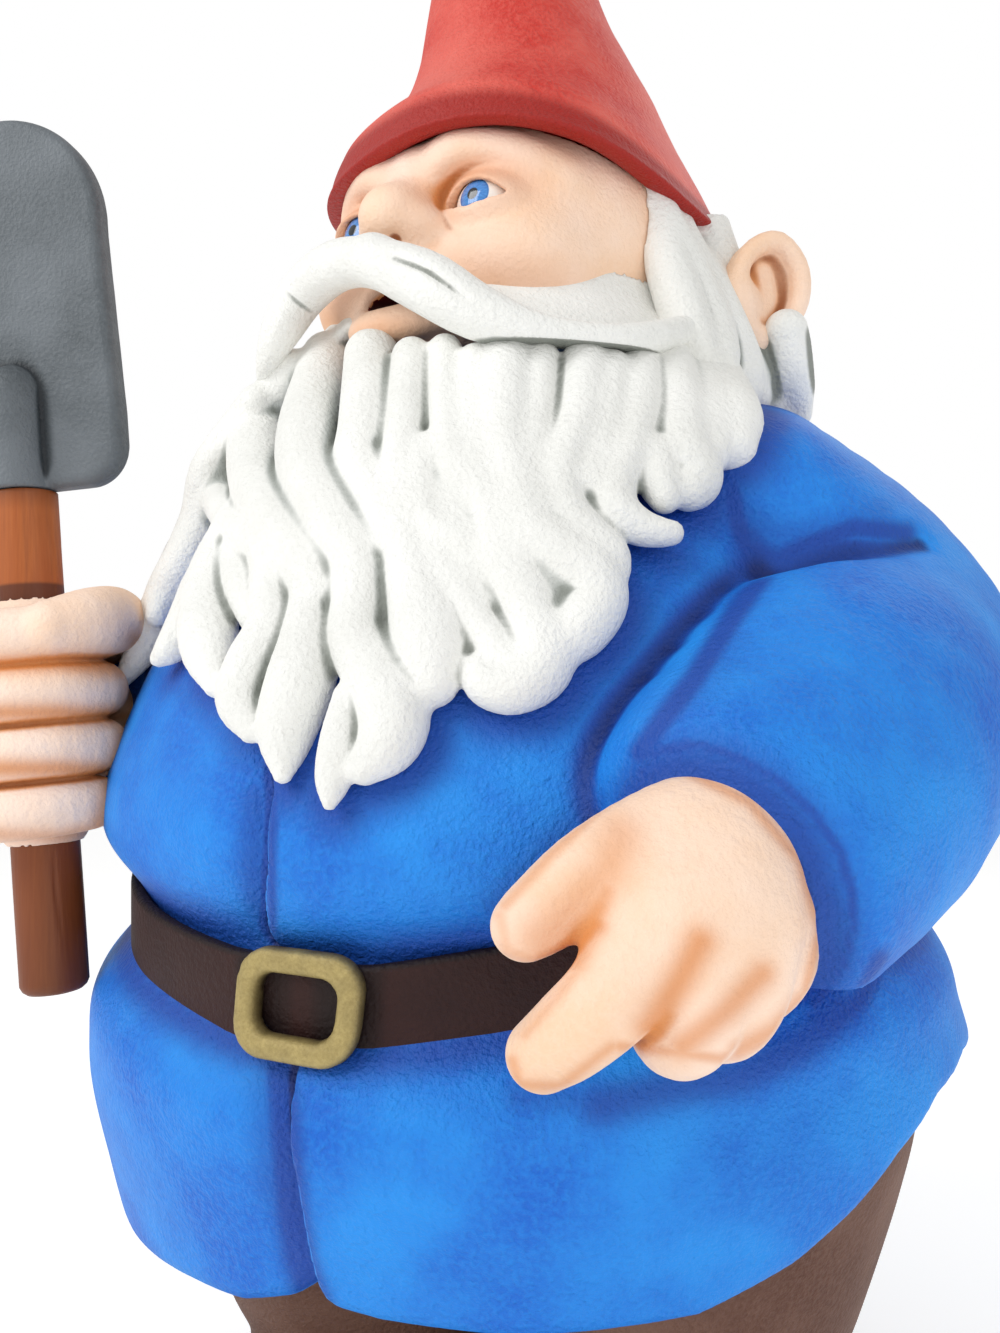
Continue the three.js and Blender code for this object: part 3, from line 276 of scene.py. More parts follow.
# How close each point of a piece is to other pieces, from 1 where they touch to 0 at the given reach.
def closeness(piece, others, reach):
    spots = pointsOf(piece)
    result = np.zeros(len(spots))
    for other in others:
        targets = pointsOf(other)[::3]
        tree = kdtree.KDTree(len(targets))
        for i, spot in enumerate(targets):
            tree.insert(spot, i)
        tree.balance()
        near = np.all((spots > targets.min(0) - reach) & (spots < targets.max(0) + reach), axis=1)
        for i in np.nonzero(near)[0]:
            away = tree.find(spots[i])[2]
            if away < reach:
                result[i] = max(result[i], 1 - away / reach)
    return result


# Finishes
def colour(text):
    parts = [int(text[i:i + 2], 16) / 255 for i in (1, 3, 5)]
    return (*[p / 12.92 if p <= 0.04045 else ((p + 0.055) / 1.055) ** 2.4 for p in parts], 1)


def addNode(tree, kind, settings=None, links=None):
    node = tree.nodes.new(kind)
    for key, value in (settings or {}).items():
        if isinstance(key, int) or key in node.inputs:
            node.inputs[key].default_value = value
        else:
            setattr(node, key, value)
    for key, socket in (links or {}).items():
        tree.links.new(socket, node.inputs[key])
    return node


def newFinish(name, settings):
    finish = bpy.data.materials.new(name)
    finish.use_nodes = True
    tree = finish.node_tree
    tree.nodes.clear()
    shader = addNode(tree, "ShaderNodeBsdfPrincipled", settings)
    addNode(tree, "ShaderNodeOutputMaterial", links={"Surface": shader.outputs[0]})
    return finish, tree, shader


def attribute(tree, name):
    return addNode(tree, "ShaderNodeAttribute", {"attribute_name": name}).outputs["Fac"]


def objectPlace(tree):
    return addNode(tree, "ShaderNodeTexCoord").outputs["Object"]


def noise(tree, place, scale, detail, rough=0.5):
    settings = {"Scale": scale, "Detail": detail, "Roughness": rough}
    return addNode(tree, "ShaderNodeTexNoise", settings, {"Vector": place}).outputs["Fac"]


def stretched(tree, place, scale):
    return addNode(tree, "ShaderNodeMapping", {"Scale": scale}, {"Vector": place}).outputs[0]


def ranged(tree, value, low=0.0, high=1.0, least=0.0, most=1.0, kind="LINEAR"):
    settings = {"From Min": low, "From Max": high, "To Min": least, "To Max": most, "interpolation_type": kind}
    return addNode(tree, "ShaderNodeMapRange", settings, {"Value": value}).outputs[0]


# Mix two paints, each a hex text or another node's output.
def mixed(tree, share, low, high):
    settings, links = {"data_type": "RGBA"}, {0: share}
    for key, paint in ((6, low), (7, high)):
        if isinstance(paint, str):
            settings[key] = colour(paint)
        else:
            links[key] = paint
    return addNode(tree, "ShaderNodeMix", settings, links).outputs[2]


def coat(tree, shader, paint, height, strength, distance):
    bump = addNode(tree, "ShaderNodeBump", {"Strength": strength, "Distance": distance}, {"Height": height})
    tree.links.new(paint, shader.inputs["Base Color"])
    tree.links.new(bump.outputs[0], shader.inputs["Normal"])


# Acrylic paint from a fine spray gun over a sprayed hard coat: satin, with an orange-peel grain whose size is in
# millimetres, slightly blotchy where coats overlap, and darkened with painted shade in the hollows, partly the
# figure's own spray shading.
def sprayPaintWithShade(name, base, lit, shade, deep, shadeZone=None, rough=0.6, grainSize=4.2, grainDepth=1.0, oversprayAndSheen=0.4):
    finish, tree, shader = newFinish(name, {"IOR": 1.46, "Roughness": rough, "Specular IOR Level": 0.35})
    place = objectPlace(tree)
    blotch = noise(tree, place, 1 / 0.11, 3, 0.55)
    grain = noise(tree, place, 1000 / grainSize, 2.5, 0.6)
    paint = mixed(tree, ranged(tree, blotch, 0.35, 0.65), base, lit)
    # grain peaks turn towards the lighter lit copy: partly overspray, partly a painted highlight
    paint = mixed(tree, ranged(tree, grain, 0.4, 0.68, most=oversprayAndSheen), paint, lit)
    # painted shade in wide hollows and where other pieces are near, then deeper painted shade in sharp creases
    edge = addNode(tree, "ShaderNodeMath", {"operation": "MAXIMUM"},
                   {0: attribute(tree, "wideShade"), 1: attribute(tree, "near")}).outputs[0]
    paint = mixed(tree, ranged(tree, edge, 0.12, 0.9, most=0.92, kind="SMOOTHSTEP"), paint, shade)
    paint = mixed(tree, ranged(tree, attribute(tree, "hollow"), 0.3, most=0.85, kind="SMOOTHSTEP"), paint, deep)
    # an extra painted shade in its own colour, such as the orange-brown shade of the skin
    if shadeZone:
        paint = mixed(tree, attribute(tree, "shadeZone"), paint, shadeZone)
    coat(tree, shader, paint, grain, grainDepth, 0.0026)
    return finish


# each paint: base, lighter lit copy, painted shade, and deeper painted shade for sharp creases
blueTunic = sprayPaintWithShade("blueTunicPaint", "#0f66cf", "#2190ec", "#1a46a4", "#10205e", rough=0.52)
redHat = sprayPaintWithShade("redHatPaint", "#c9352b", "#e2685a", "#9c1a12", "#6e0d08", rough=0.5)
paleSkin = sprayPaintWithShade("skinPaint", "#f6cfae", "#fde3d0", "#dd9558", "#8c4a22", shadeZone="#d98a4c", rough=0.6,
                      grainDepth=0.5, oversprayAndSheen=0.2)
whiteHair = sprayPaintWithShade("whiteHairPaint", "#e6e6e1", "#f4f4f0", "#bfc3bf", "#7c8078", rough=0.65, grainDepth=0.8)
darkBelt = sprayPaintWithShade("beltPaint", "#300f0c", "#43201a", "#140706", "#0c0403", rough=0.62, grainDepth=0.6,
                      oversprayAndSheen=0.3)
brownTrousers = sprayPaintWithShade("trouserPaint", "#5c3a2c", "#7a5a4c", "#2b160e", "#180b07", rough=0.65)
darkBoot = sprayPaintWithShade("bootPaint", "#2e1d16", "#4a342a", "#150c08", "#0c0605", rough=0.5)
blackSole = sprayPaintWithShade("solePaint", "#1c1614", "#332a26", "#0d0908", "#080505", rough=0.7)
mouthRed = sprayPaintWithShade("mouthPaint", "#7c0f12", "#9c1f1f", "#3a0507", "#260304", rough=0.4, grainDepth=0.3)


# Dull gold enamel brushed over foam board: weak metal sparkle on a coarse grain, painted shade along the frame's
# sides where it meets the belt, and darker worn patches here and there.
def goldPaint():
    finish, tree, shader = newFinish("goldBucklePaint", {"Metallic": 0.25, "Roughness": 0.55})
    place = objectPlace(tree)
    grain, worn = noise(tree, place, 420, 3, 0.65), noise(tree, place, 60, 4)
    gold = mixed(tree, grain, "#8c7a45", "#c4b074")
    rub = addNode(tree, "ShaderNodeMath", {"operation": "MULTIPLY_ADD", 1: 0.9, 2: -0.35}, {0: worn})
    dark = addNode(tree, "ShaderNodeMath", {"operation": "ADD", "use_clamp": True},
                   {0: attribute(tree, "edge"), 1: rub.outputs[0]})
    coat(tree, shader, mixed(tree, dark.outputs[0], gold, "#3a2c17"), grain, 0.8, 0.0009)
    return finish


# Steel-grey paint on foam board: cool grey, cloudy where the spray gun passed, with painted shade in its hollows.
bladeGrey = sprayPaintWithShade("bladePaint", "#4c5256", "#6c7277", "#383e42", "#22262a", rough=0.5, grainSize=3.2,
                       grainDepth=0.5)


# Oiled softwood pole: orange-brown with straight grain about 3 mm apart, darker late wood and a few drying cracks.
def stainedWood():
    finish, tree, shader = newFinish("stainedHandleWood", {"Roughness": 0.5, "IOR": 1.5, "Specular IOR Level": 0.4})
    along = stretched(tree, objectPlace(tree), (1, 1, 0.05))
    grain, broad = noise(tree, along, 330, 4, 0.6), noise(tree, along, 60, 2)
    wood = mixed(tree, grain, "#853f15", "#c87638")
    tone = mixed(tree, broad, wood, "#a4521f")
    coat(tree, shader, mixed(tree, attribute(tree, "shadow"), tone, "#3a150b"), grain, 0.5, 0.0007)
    return finish


# Hand-painted glass-like eye under clear lacquer: blue iris with fine streaks, dark rim and pupil, cream white.
def eyePaint():
    finish, tree, shader = newFinish("lacqueredEyePaint",
                                     {"Roughness": 0.12, "Coat Weight": 0.6, "Coat Roughness": 0.05})
    uv = addNode(tree, "ShaderNodeUVMap", {"uv_map": "gaze"}).outputs[0]
    middle = addNode(tree, "ShaderNodeVectorMath", {"operation": "LENGTH"}, {0: uv})
    split = addNode(tree, "ShaderNodeSeparateXYZ", links={0: uv})
    angle = addNode(tree, "ShaderNodeMath", {"operation": "ARCTAN2"}, {0: split.outputs[1], 1: split.outputs[0]})
    around = addNode(tree, "ShaderNodeCombineXYZ", links={0: angle.outputs[0], 1: middle.outputs["Value"]})
    blue = mixed(tree, noise(tree, around.outputs[0], 7, 3), "#164f9e", "#5aa7f0")
    bands = addNode(tree, "ShaderNodeValToRGB", links={"Fac": middle.outputs["Value"]})
    ramp = bands.color_ramp
    ramp.elements[0].position, ramp.elements[0].color = 0.0, (0, 0, 0, 1)
    ramp.elements[1].position, ramp.elements[1].color = 1.0, (1, 1, 1, 1)
    for spot, value in ((0.135, 0.0), (0.16, 0.45), (0.36, 0.5), (0.4, 0.3), (0.43, 1.0)):
        element = ramp.elements.new(spot)
        element.color = (value, value, value, 1)
    iris = mixed(tree, ranged(tree, bands.outputs[0], high=0.45), "#0c0f16", blue)
    paint = mixed(tree, ranged(tree, bands.outputs[0], 0.55, 0.95), iris, "#f3ece4")
    tree.links.new(paint, shader.inputs["Base Color"])
    return finish


# Mild steel as rolled and cut: grey with faint bluish scale, brushed where it was ground.
def milledSteel():
    finish, tree, shader = newFinish("milledSteel", {"Metallic": 1.0})
    place = objectPlace(tree)
    scale = noise(tree, place, 28, 6, 0.65)
    lines = noise(tree, stretched(tree, place, (1, 0.02, 1)), 900, 2)
    tree.links.new(ranged(tree, scale, least=0.3, most=0.55), shader.inputs["Roughness"])
    coat(tree, shader, mixed(tree, scale, "#5c6066", "#9a9da0"), lines, 0.25, 0.0003)
    return finish


goldBuckle, handleWood, eyeFinish, steel = goldPaint(), stainedWood(), eyePaint(), milledSteel()
print("finishes mixed")


def dress(piece, node, finish, body="figure"):
    piece.data.materials.append(finish)
    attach(piece, body)
    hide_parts(node)
    print(f"{piece.name}: {len(piece.data.vertices)} points")


# The ray through a pixel of the photograph, with its steps and the places along it
def rayThrough(px, py, step):
    ray = -towardCamera + cameraRight * (px - view["centrePixel"][0]) / view["focalPixels"]
    ray = ray - np.array([0, 0, (py - view["centrePixel"][1]) / view["focalPixels"]])
    steps = np.arange(view["nearest"], view["farthest"], step)
    return ray, steps, cameraPlace + steps[:, None] * ray


# Where a pixel lands on a form
def onForm(pixels, reach, lift=0):
    result = []
    for px, py, *rest in pixels:
        ray, steps, spots = rayThrough(px, py, 2.0)
        away = np.hypot(spots[:, 0], spots[:, 1]) - reach(np.arctan2(spots[:, 0], -spots[:, 1]), spots[:, 2]) - lift
        first = np.argmax(away < 0) if (away < 0).any() else np.argmin(away)
        size = [rest[0] * steps[first] / view["focalPixels"]] if rest else []
        result.append([*spots[first], *size])
    return np.array(result)


# Where a pixel lands on a carved block, lifted towards the camera
def onField(pixels, block, lift=0):
    result = []
    counts = np.array(block["field"].shape)
    for px, py, wide in pixels:
        ray, steps, places = rayThrough(px, py, 1.5)
        spots = (places - block["low"]) / block["cell"]
        inside = np.all((spots > 0) & (spots < counts - 1), axis=1)
        field = np.where(inside, sampled(block["field"], np.clip(spots, 0, counts - 1.01)), farAway)
        first = np.argmax(field < 0) if (field < 0).any() else np.argmin(field)
        result.append([*(places[first] - ray * lift), wide * steps[first] / view["focalPixels"]])
    return np.array(result)


def formTable(stations):
    rows = np.array(stations, float)
    smooth = smoothLine(rows, 12 * len(rows))
    return smooth[np.argsort(smooth[:, 0])]


def formReach(table):
    def reach(angle, height):
        wide = np.interp(height, table[:, 0], table[:, 1])
        deep = np.interp(height, table[:, 0], table[:, 2])
        return wide * deep / np.hypot(deep * np.sin(angle), wide * np.cos(angle))
    return reach


def formField(table, cells, grow=0):
    x, y, z = cells
    wide = np.interp(z, table[:, 0], table[:, 1]).astype(np.float32) + grow
    deep = np.interp(z, table[:, 0], table[:, 2]).astype(np.float32) + grow
    out = np.hypot(x, y)
    reach = wide * deep * out / np.maximum(np.hypot(deep * x, wide * y), 1)
    return (out - reach) * np.float32(0.95)


# Tunic: one big padded form, parted at the waist and along the sleeves
tunic = {
    "stations": [   # height, half width, half depth
        (235, 350, 306), (296, 368, 320), (385, 378, 343), (450, 362, 333), (500, 338, 314), (530, 338, 314),
        (590, 361, 337),
        (660, 343, 317), (745, 304, 274), (862, 250, 188), (915, 170, 136),
    ],
    "foldPixels": [
        (275, 640), (275, 790), (271, 860), (272, 930), (283, 965), (295, 1060), (298, 1120), (302, 1200),
        (312, 1250),
        (325, 1300),
    ],
    "foldLip": 8, "foldLipReach": 60, "foldDip": 22, "foldDipReach": 34, "foldEdge": 3.0, "foldTop": 715,
    "foldFade": 90,
    "frontReach": 160, "beltGroove": 10, "beltGrooveReach": 34, "overhang": 6, "overhangRise": 62,
    "overhangReach": 26,
    "beltPinch": 40, "pinchShare": 0.9,
    "hemAngles": [-180, -130, -95, -60, -40, -22, -12, -4, 1, 3, 5, 10, 26, 45, 55, 62, 68, 77, 89, 105, 130, 180],
    "hemHeights": [292, 272, 262, 250, 250, 262, 266, 280, 298, 300, 292, 288, 286, 298, 323, 350, 376, 400, 408,
                   392, 330, 292],
    "hemRound": 16, "hemWall": 36, "hemRecess": 60, "recessSoft": 8, "legGap": 0.5, "partingGap": 3,
    "neckHeight": 908, "neckSoft": 6, "cell": 3.6,
    "upperBlock": ((-475, -420, 455), (470, 360, 925)), "lowerBlock": ((-420, -375, 215), (420, 375, 600)),
}
bodyTable = formTable(tunic["stations"])
bodyReach = formReach(bodyTable)
foldLine = onForm(tunic["foldPixels"], bodyReach)
foldLine = foldLine[np.argsort(foldLine[:, 2])]


beltShape = {
    "angles": [-180, -130, -90, -52, -34, -11, 0, 9, 23, 30, 45, 60, 90, 130, 180],
    "heights": [572, 560, 527, 501, 491, 481, 480, 483, 496, 505, 517, 524, 533, 560, 572],
    "width": 62, "thickness": 11, "seat": 8, "edgeRound": 4.5, "steps": 260,
    "wobble": 0.9, "wobbles": 24, "wobbleOut": 0.6, "edgeShade": 9,
}


def beltHeight(x, y):
    turn = np.degrees(np.arctan2(x, -y))
    return np.interp(turn, beltShape["angles"], beltShape["heights"]).astype(np.float32)


def tunicField(cells):
    x, y, z = cells
    field = formField(bodyTable, cells)
    across = x - np.interp(z, foldLine[:, 2], foldLine[:, 0]).astype(np.float32)
    front = np.clip(-y / tunic["frontReach"], 0, 1) * np.clip((tunic["foldTop"] - z) / tunic["foldFade"], 0, 1)
    lip = tunic["foldLip"] * np.exp(-np.abs(across) / tunic["foldLipReach"])
    dip = -tunic["foldDip"] * np.exp(-np.abs(across) / tunic["foldDipReach"])
    side = 0.5 + 0.5 * np.tanh(across / tunic["foldEdge"])
    rise = z - beltHeight(x, y)
    front = front * (1 - tunic["pinchShare"] * np.exp(-(rise / tunic["beltPinch"]) ** 2))
    groove = tunic["beltGroove"] * np.exp(-(rise / tunic["beltGrooveReach"]) ** 2)
    bulge = tunic["overhang"] * np.exp(-((np.abs(rise) - tunic["overhangRise"]) / tunic["overhangReach"]) ** 2)
    return field - (dip + (lip - dip) * side) * front + groove - bulge


sleeveShape = {
    "left": [(196, 24, 826, 92), (262, 32, 756, 104), (300, 6, 686, 110), (308, -150, 630, 103),
             (266, -288, 577, 93)],
    "right": [(-196, 24, 826, 92), (-262, 40, 758, 104), (-318, 24, 690, 106), (-346, -70, 658, 98),
              (-340, -172, 654, 84)],
    # the padding that bulges over the elbow and in front of the shoulder
    "leftPadding": [[(292, 6, 700, 108), (289, -130, 664, 108), (268, -222, 618, 96)],
                    [(216, -42, 804, 92), (262, -24, 752, 100)]],
    # in pixels: the crease over the elbow, from the armpit outwards, and its half width
    "armFold": [(748, 566, 9), (775, 561, 15), (805, 551, 17), (850, 540, 16), (890, 538, 11), (925, 538, 4)],
    "foldLift": 4, "foldSoft": 22,
    "soft": 11, "paddingSoft": 30, "cuffLip": 30, "cuffHollow": 0.66, "cuffHollowDepth": 14, "cuffHollowSoft": 7,
    "cuffRing": 59, "cuffRoll": 9.5, "cuffRollSoft": 5, "cuffAhead": -3, "beyondCuff": 60, "steps": 15,
}


def sleeveField(cells, points):
    s = sleeveShape
    line = smoothLine(points, s["steps"])
    last, before = line[-1, :3], line[-2, :3]
    aim = (last - before) / np.linalg.norm(last - before)
    longer = np.vstack([line, [*(last + aim * s["beyondCuff"]), line[-1, 3]]])
    field = ropeField(cells, longer)
    x, y, z = cells
    ahead = (x - last[0]) * aim[0] + (y - last[1]) * aim[1] + (z - last[2]) * aim[2]
    field = softCut(field, -ahead, s["cuffLip"])
    radius = line[-1, 3] * s["cuffHollow"]
    hollow = ballField(cells, last + aim * (radius - s["cuffHollowDepth"]), (radius, radius, radius))
    field = softCut(field, hollow, s["cuffHollowSoft"])
    out = np.sqrt(np.maximum((x - last[0]) ** 2 + (y - last[1]) ** 2 + (z - last[2]) ** 2 - ahead ** 2, 0))
    roll = np.hypot(out - s["cuffRing"], ahead - s["cuffAhead"]) - s["cuffRoll"]
    return softJoin(field, roll, s["cuffRollSoft"])


upper = foamBlock(*tunic["upperBlock"], tunic["cell"])
upperCells = allCells(upper)
bodyPart = softCut(tunicField(upperCells), tunic["neckHeight"] - upperCells[2], tunic["neckSoft"])
armParts = {side: sleeveField(upperCells, sleeveShape[side]) for side in mirrorSides}
leftArm = armParts["left"]
for padding in sleeveShape["leftPadding"]:
    leftArm = softJoin(leftArm, ropeField(upperCells, smoothLine(padding, 8)), sleeveShape["paddingSoft"])
foldCut = onField(sleeveShape["armFold"], dict(upper, field=leftArm), sleeveShape["foldLift"])
leftArm = softCut(leftArm, ropeField(upperCells, smoothLine(foldCut, 16)), sleeveShape["foldSoft"])
arms = softJoin(leftArm, armParts["right"], 0)
fused = softJoin(bodyPart, arms, sleeveShape["soft"])
topHalf = -(upperCells[2] - beltHeight(upperCells[0], upperCells[1])) + tunic["partingGap"]
shell = carvedPiece(dict(upper, field=np.maximum(fused, topHalf)), "tunicShell", fine=9, wide=26)


# One carved shell is parted where the sleeve meets the torso, and both sides keep the shell's own normals.
def partShell(shell, seam, name, keep):
    mesh = shell.data
    count = len(mesh.vertices)
    faces = np.zeros(len(mesh.loops), np.int32)
    mesh.loops.foreach_get("vertex_index", faces)
    faces = faces.reshape(-1, 4)
    normals = np.zeros(count * 3, np.float32)
    mesh.vertices.foreach_get("normal", normals)
    spots = pointsOf(shell)
    chosen = keep(seam[faces].mean(axis=1), spots[faces].mean(axis=1))
    used, kept = np.unique(faces[chosen], return_inverse=True)
    values = {}
    for key in ("hollow", "wideShade"):
        layer = np.zeros(count, np.float32)
        mesh.attributes[key].data.foreach_get("value", layer)
        values[key] = layer[used]
    piece = quadMesh(name, spots[used], kept.reshape(-1, 4), values)
    piece.data.normals_split_custom_set_from_vertices(normals.reshape(-1, 3)[used].tolist())
    return piece


seam = sampled(bodyPart - arms, (pointsOf(shell) - upper["low"]) / upper["cell"])
torso = partShell(shell, seam, "torsoFoam", lambda side, middle: side <= 0)
sleeves = {
    "left": partShell(shell, seam, "leftSleeveFoam", lambda side, middle: (side > 0) & (middle[:, 0] > 0)),
    "right": partShell(shell, seam, "rightSleeveFoam", lambda side, middle: (side > 0) & (middle[:, 0] < 0)),
}
bpy.data.objects.remove(shell)
print("torso and sleeves carved")

# Legs, which the skirt is hollowed for
legShape = {
    "stations": [   # height, half width, half depth
        (60, 112, 126), (90, 122, 136), (128, 133, 150), (164, 145, 164), (230, 166, 190), (293, 184, 213),
        (350, 196, 226),
        (440, 204, 233),
    ],
    "out": 140, "back": 6, "apart": 4, "top": 420, "cuff": 78, "apartSoft": 14, "cuffSoft": 12,
    "ripple": 3.0, "rippleRise": 13, "rippleWander": 2.2, "wanderReach": 70, "rippleTop": 190, "rippleFade": 90,
    "low": (-20, -260, 60), "high": (360, 270, 432),
}


def legField(cells, side, grow=0):
    s = legShape
    x, y, z = cells
    table = formTable(s["stations"])
    field = formField(table, (x - side * s["out"], y - s["back"], z), grow)
    wander = s["rippleWander"] * np.sin((x + y) / s["wanderReach"])
    ripple = s["ripple"] * np.sin(z / s["rippleRise"] + wander) * np.clip((s["rippleTop"] - z) / s["rippleFade"], 0,
    1)
    field = softCut(field - ripple, side * x - s["apart"] / 2 + grow, s["apartSoft"])
    field = softCut(field, z - s["cuff"], s["cuffSoft"])
    return np.maximum(field, z - s["top"] - grow)


lower = foamBlock(*tunic["lowerBlock"], tunic["cell"])
lowerCells = allCells(lower)
x, y, z = lowerCells
hem = np.interp(np.degrees(np.arctan2(x, -y)), tunic["hemAngles"], tunic["hemHeights"]).astype(np.float32)
skirtField = softCut(tunicField(lowerCells), z - hem, tunic["hemRound"])
inside = formField(bodyTable, lowerCells, -tunic["hemWall"])
recess = np.maximum(inside, z - hem - tunic["hemRecess"])
skirtField = softCut(skirtField, recess, tunic["recessSoft"])
skirtField = np.maximum(skirtField, z - beltHeight(x, y) + tunic["partingGap"])
for side in mirrorSides.values():
    skirtField = np.maximum(skirtField, -legField(lowerCells, side, tunic["legGap"]))
lower["field"] = skirtField.astype(np.float32)
skirt = carvedPiece(lower, "skirtFoam", fine=8, wide=24)
print("skirt carved")


# Belt and buckle
def gridFaces(rows, columns, closeRows=False):
    grid = np.arange(rows * columns).reshape(rows, columns)
    upperRow = grid if closeRows else grid[:-1]
    nextRow = np.roll(grid, -1, axis=0) if closeRows else grid[1:]
    corners = [upperRow, np.roll(upperRow, -1, axis=1), np.roll(nextRow, -1, axis=1), nextRow]
    return np.stack(corners, axis=-1).reshape(-1, 4)


# The faces of rings laid one above another, closed at both ends
def loftFaces(rows, columns):
    last = (rows - 1) * columns
    ends = [list(range(columns))[::-1], [last + i for i in range(columns)]]
    return [list(face) for face in gridFaces(rows, columns)] + ends


def roundedBox(halfWide, halfHigh, corner, steps):
    spots = []
    for cx, cy, start in ((1, 1, 0), (-1, 1, 90), (-1, -1, 180), (1, -1, 270)):
        for i in range(steps + 1):
            a = math.radians(start + 90 * i / steps)
            across, up = corner * math.cos(a), corner * math.sin(a)
            spots.append((cx * (halfWide - corner) + across, cy * (halfHigh - corner) + up))
    return np.array(spots)


def beltPiece():
    s = beltShape
    section = roundedBox(s["thickness"] / 2, s["width"] / 2, s["edgeRound"], 4)
    rng = np.random.default_rng(4)
    turns = np.radians(np.linspace(-180, 180, s["steps"], endpoint=False))
    wobble = smoothLine(rng.normal(0, s["wobble"], (s["wobbles"], 2)), s["steps"])
    rows = []
    for i, turn in enumerate(turns):
        out = np.array([math.sin(turn), -math.cos(turn), 0])
        height = float(beltHeight(out[0], out[1]))
        reach = float(bodyReach(turn, height)) + s["thickness"] / 2 - s["seat"]
        middle = out * (reach + wobble[i, 0] * s["wobbleOut"]) + np.array([0, 0, height + wobble[i, 1]])
        rows.append([middle + out * a + np.array([0, 0, b]) for a, b in section])
    rows = np.array(rows)
    faces = gridFaces(len(rows), rows.shape[1], closeRows=True)
    piece = quadMesh("beltBand", rows.reshape(-1, 3), faces[:, ::-1])
    edgeDepth = np.abs(section[:, 1]) - s["width"] / 2 + s["edgeShade"]
    edge = np.tile(np.clip(edgeDepth / s["edgeShade"], 0, 1), len(rows))
    setValues(piece, "wideShade", edge)
    return piece


belt = beltPiece()

buckleShape = {
    "width": 91, "height": 70, "frame": 16, "thickness": 16, "outerCorner": 24, "innerCorner": 13, "across": 2,
    "rise": 5,
    "lean": 2, "squash": 0.06, "cornerSteps": 14, "turn": 0.3, "bend": 317, "formShare": 0.35, "rough": 0.5,
    # share of the frame's width, and height over its middle as a share of half its thickness
    "profile": [
        (0.0, -1), (0.0, 0.25), (0.06, 0.72), (0.2, 0.96), (0.5, 1.06), (0.8, 0.96), (0.94, 0.72), (1.0, 0.25),
        (1.0, -1),
    ],
    "edgeShares": (0.0, 0.06, 0.94, 1.0), "edgeShades": [1.0, 0.55, 0.1, 0, 0, 0, 0.1, 0.55, 1.0],
}


def bucklePiece():
    s = buckleShape
    outer = roundedBox(s["width"] / 2, s["height"] / 2, s["outerCorner"], s["cornerSteps"])
    inner = roundedBox(s["width"] / 2 - s["frame"], s["height"] / 2 - s["frame"], s["innerCorner"], s["cornerSteps"])
    half = s["thickness"] / 2
    rng = np.random.default_rng(7)
    height = float(beltHeight(0.0, -1.0)) + s["rise"]
    rows = []
    for (ox, oz), (ix, iz) in zip(outer, inner):
        rough = rng.normal(0, s["rough"])
        ring = []
        for share, lift in s["profile"]:
            px, pz = ox + (ix - ox) * share, oz + (iz - oz) * share
            px = px * (1 + s["squash"] * pz / s["height"]) + s["lean"] * pz / s["height"]
            angle = math.radians(s["turn"]) + (px + s["across"]) / s["bend"]
            base = float(bodyReach(angle, height + pz)) + beltShape["thickness"] - beltShape["seat"]
            middle = float(bodyReach(angle, height)) + beltShape["thickness"] - beltShape["seat"]
            out = base * s["formShare"] + (1 - s["formShare"]) * middle
            reach = out + half + half * lift + (rough if share in s["edgeShares"] else rough * 0.3)
            ring.append([reach * math.sin(angle), -reach * math.cos(angle), height + pz + rough * 0.4])
        rows.append(ring)
    rows = np.array(rows)
    faces = gridFaces(len(rows), len(s["profile"]), closeRows=True)
    piece = quadMesh("buckleFrame", rows.reshape(-1, 3), faces[:, ::-1])
    # painted shade on the frame's sides, darkest where they meet the belt
    edge = np.tile(s["edgeShades"], len(rows))
    setValues(piece, "edge", edge)
    piece.modifiers.new("smooth", "SUBSURF").levels = 2
    return piece


buckle = bucklePiece()
print("belt and buckle made")


# Head, carved in its own frame and then tilted back and turned
headShape = {
    "centre": (0, 4, 1036), "radii": (158, 160, 168), "tilt": 8, "turn": 10,
    "eyeAcross": 61, "eyeForward": 126, "eyeRise": 0, "eyeRadius": 27,
    "lidThickness": 6.5, "eyeHalfWidth": 29, "eyeTop": 12.5, "eyeBottom": 8.5, "eyeGap": 0.6,
    # in the head's own frame, each row of a rope x, y, z and radius, each ball its centre, radii and softness
    # what isn't on the middle line is given for the figure's left and mirrored
    "brow": [(15, -146, 33, 14), (42, -148, 40, 17), (78, -128, 38, 15), (108, -102, 24, 10)], "browSoft": 24,
    "cheek": ((72, -96, -44), (57, 56, 44), 30), "socket": ((60, -144, 2), (33, 22, 23), 20),
    "bridge": [(0, -148, 34, 12), (0, -156, 12, 13), (0, -166, -8, 20)], "bridgeSoft": 20,
    "noseTip": ((0, -170, -13), (27, 27, 24), 14), "noseWing": ((22, -160, -20), (15, 17, 14), 10),
    "nostril": ((11, -178, -38), (6.5, 8, 7), 5), "jaw": ((0, -132, -72), (62, 40, 44), 26),
    "mouth": ((0, -166, -76), (27, 26, 14), 6), "mouthPaint": ((0, -152, -77), (28, 26, 13.5)),
    "mouthPaintReach": 1.04,
    "lip": [(-46, -150, -93, 7), (-26, -163, -97, 12), (0, -168, -99, 13.5), (26, -163, -97, 12), (46, -150, -93, 7)],
    "lipSoft": 9,
    # orange-brown painted shade in the eye sockets, beside the nose, under the cheeks and under the lip: centre,
    # radii and strength
    "warmShadePatches": [
        ((60, -136, 12), (44, 40, 22), 0.75), ((24, -158, 0), (15, 30, 26), 0.5),
        ((72, -120, -66), (70, 60, 22), 0.45),
        ((0, -160, -104), (50, 40, 10), 0.5),
    ],
}
headTurn = turnAbout("z", -headShape["turn"]) @ turnAbout("x", -headShape["tilt"])
headCentre = np.array(headShape["centre"], float)


def fromHead(points):
    return np.asarray(points) @ headTurn.T + headCentre


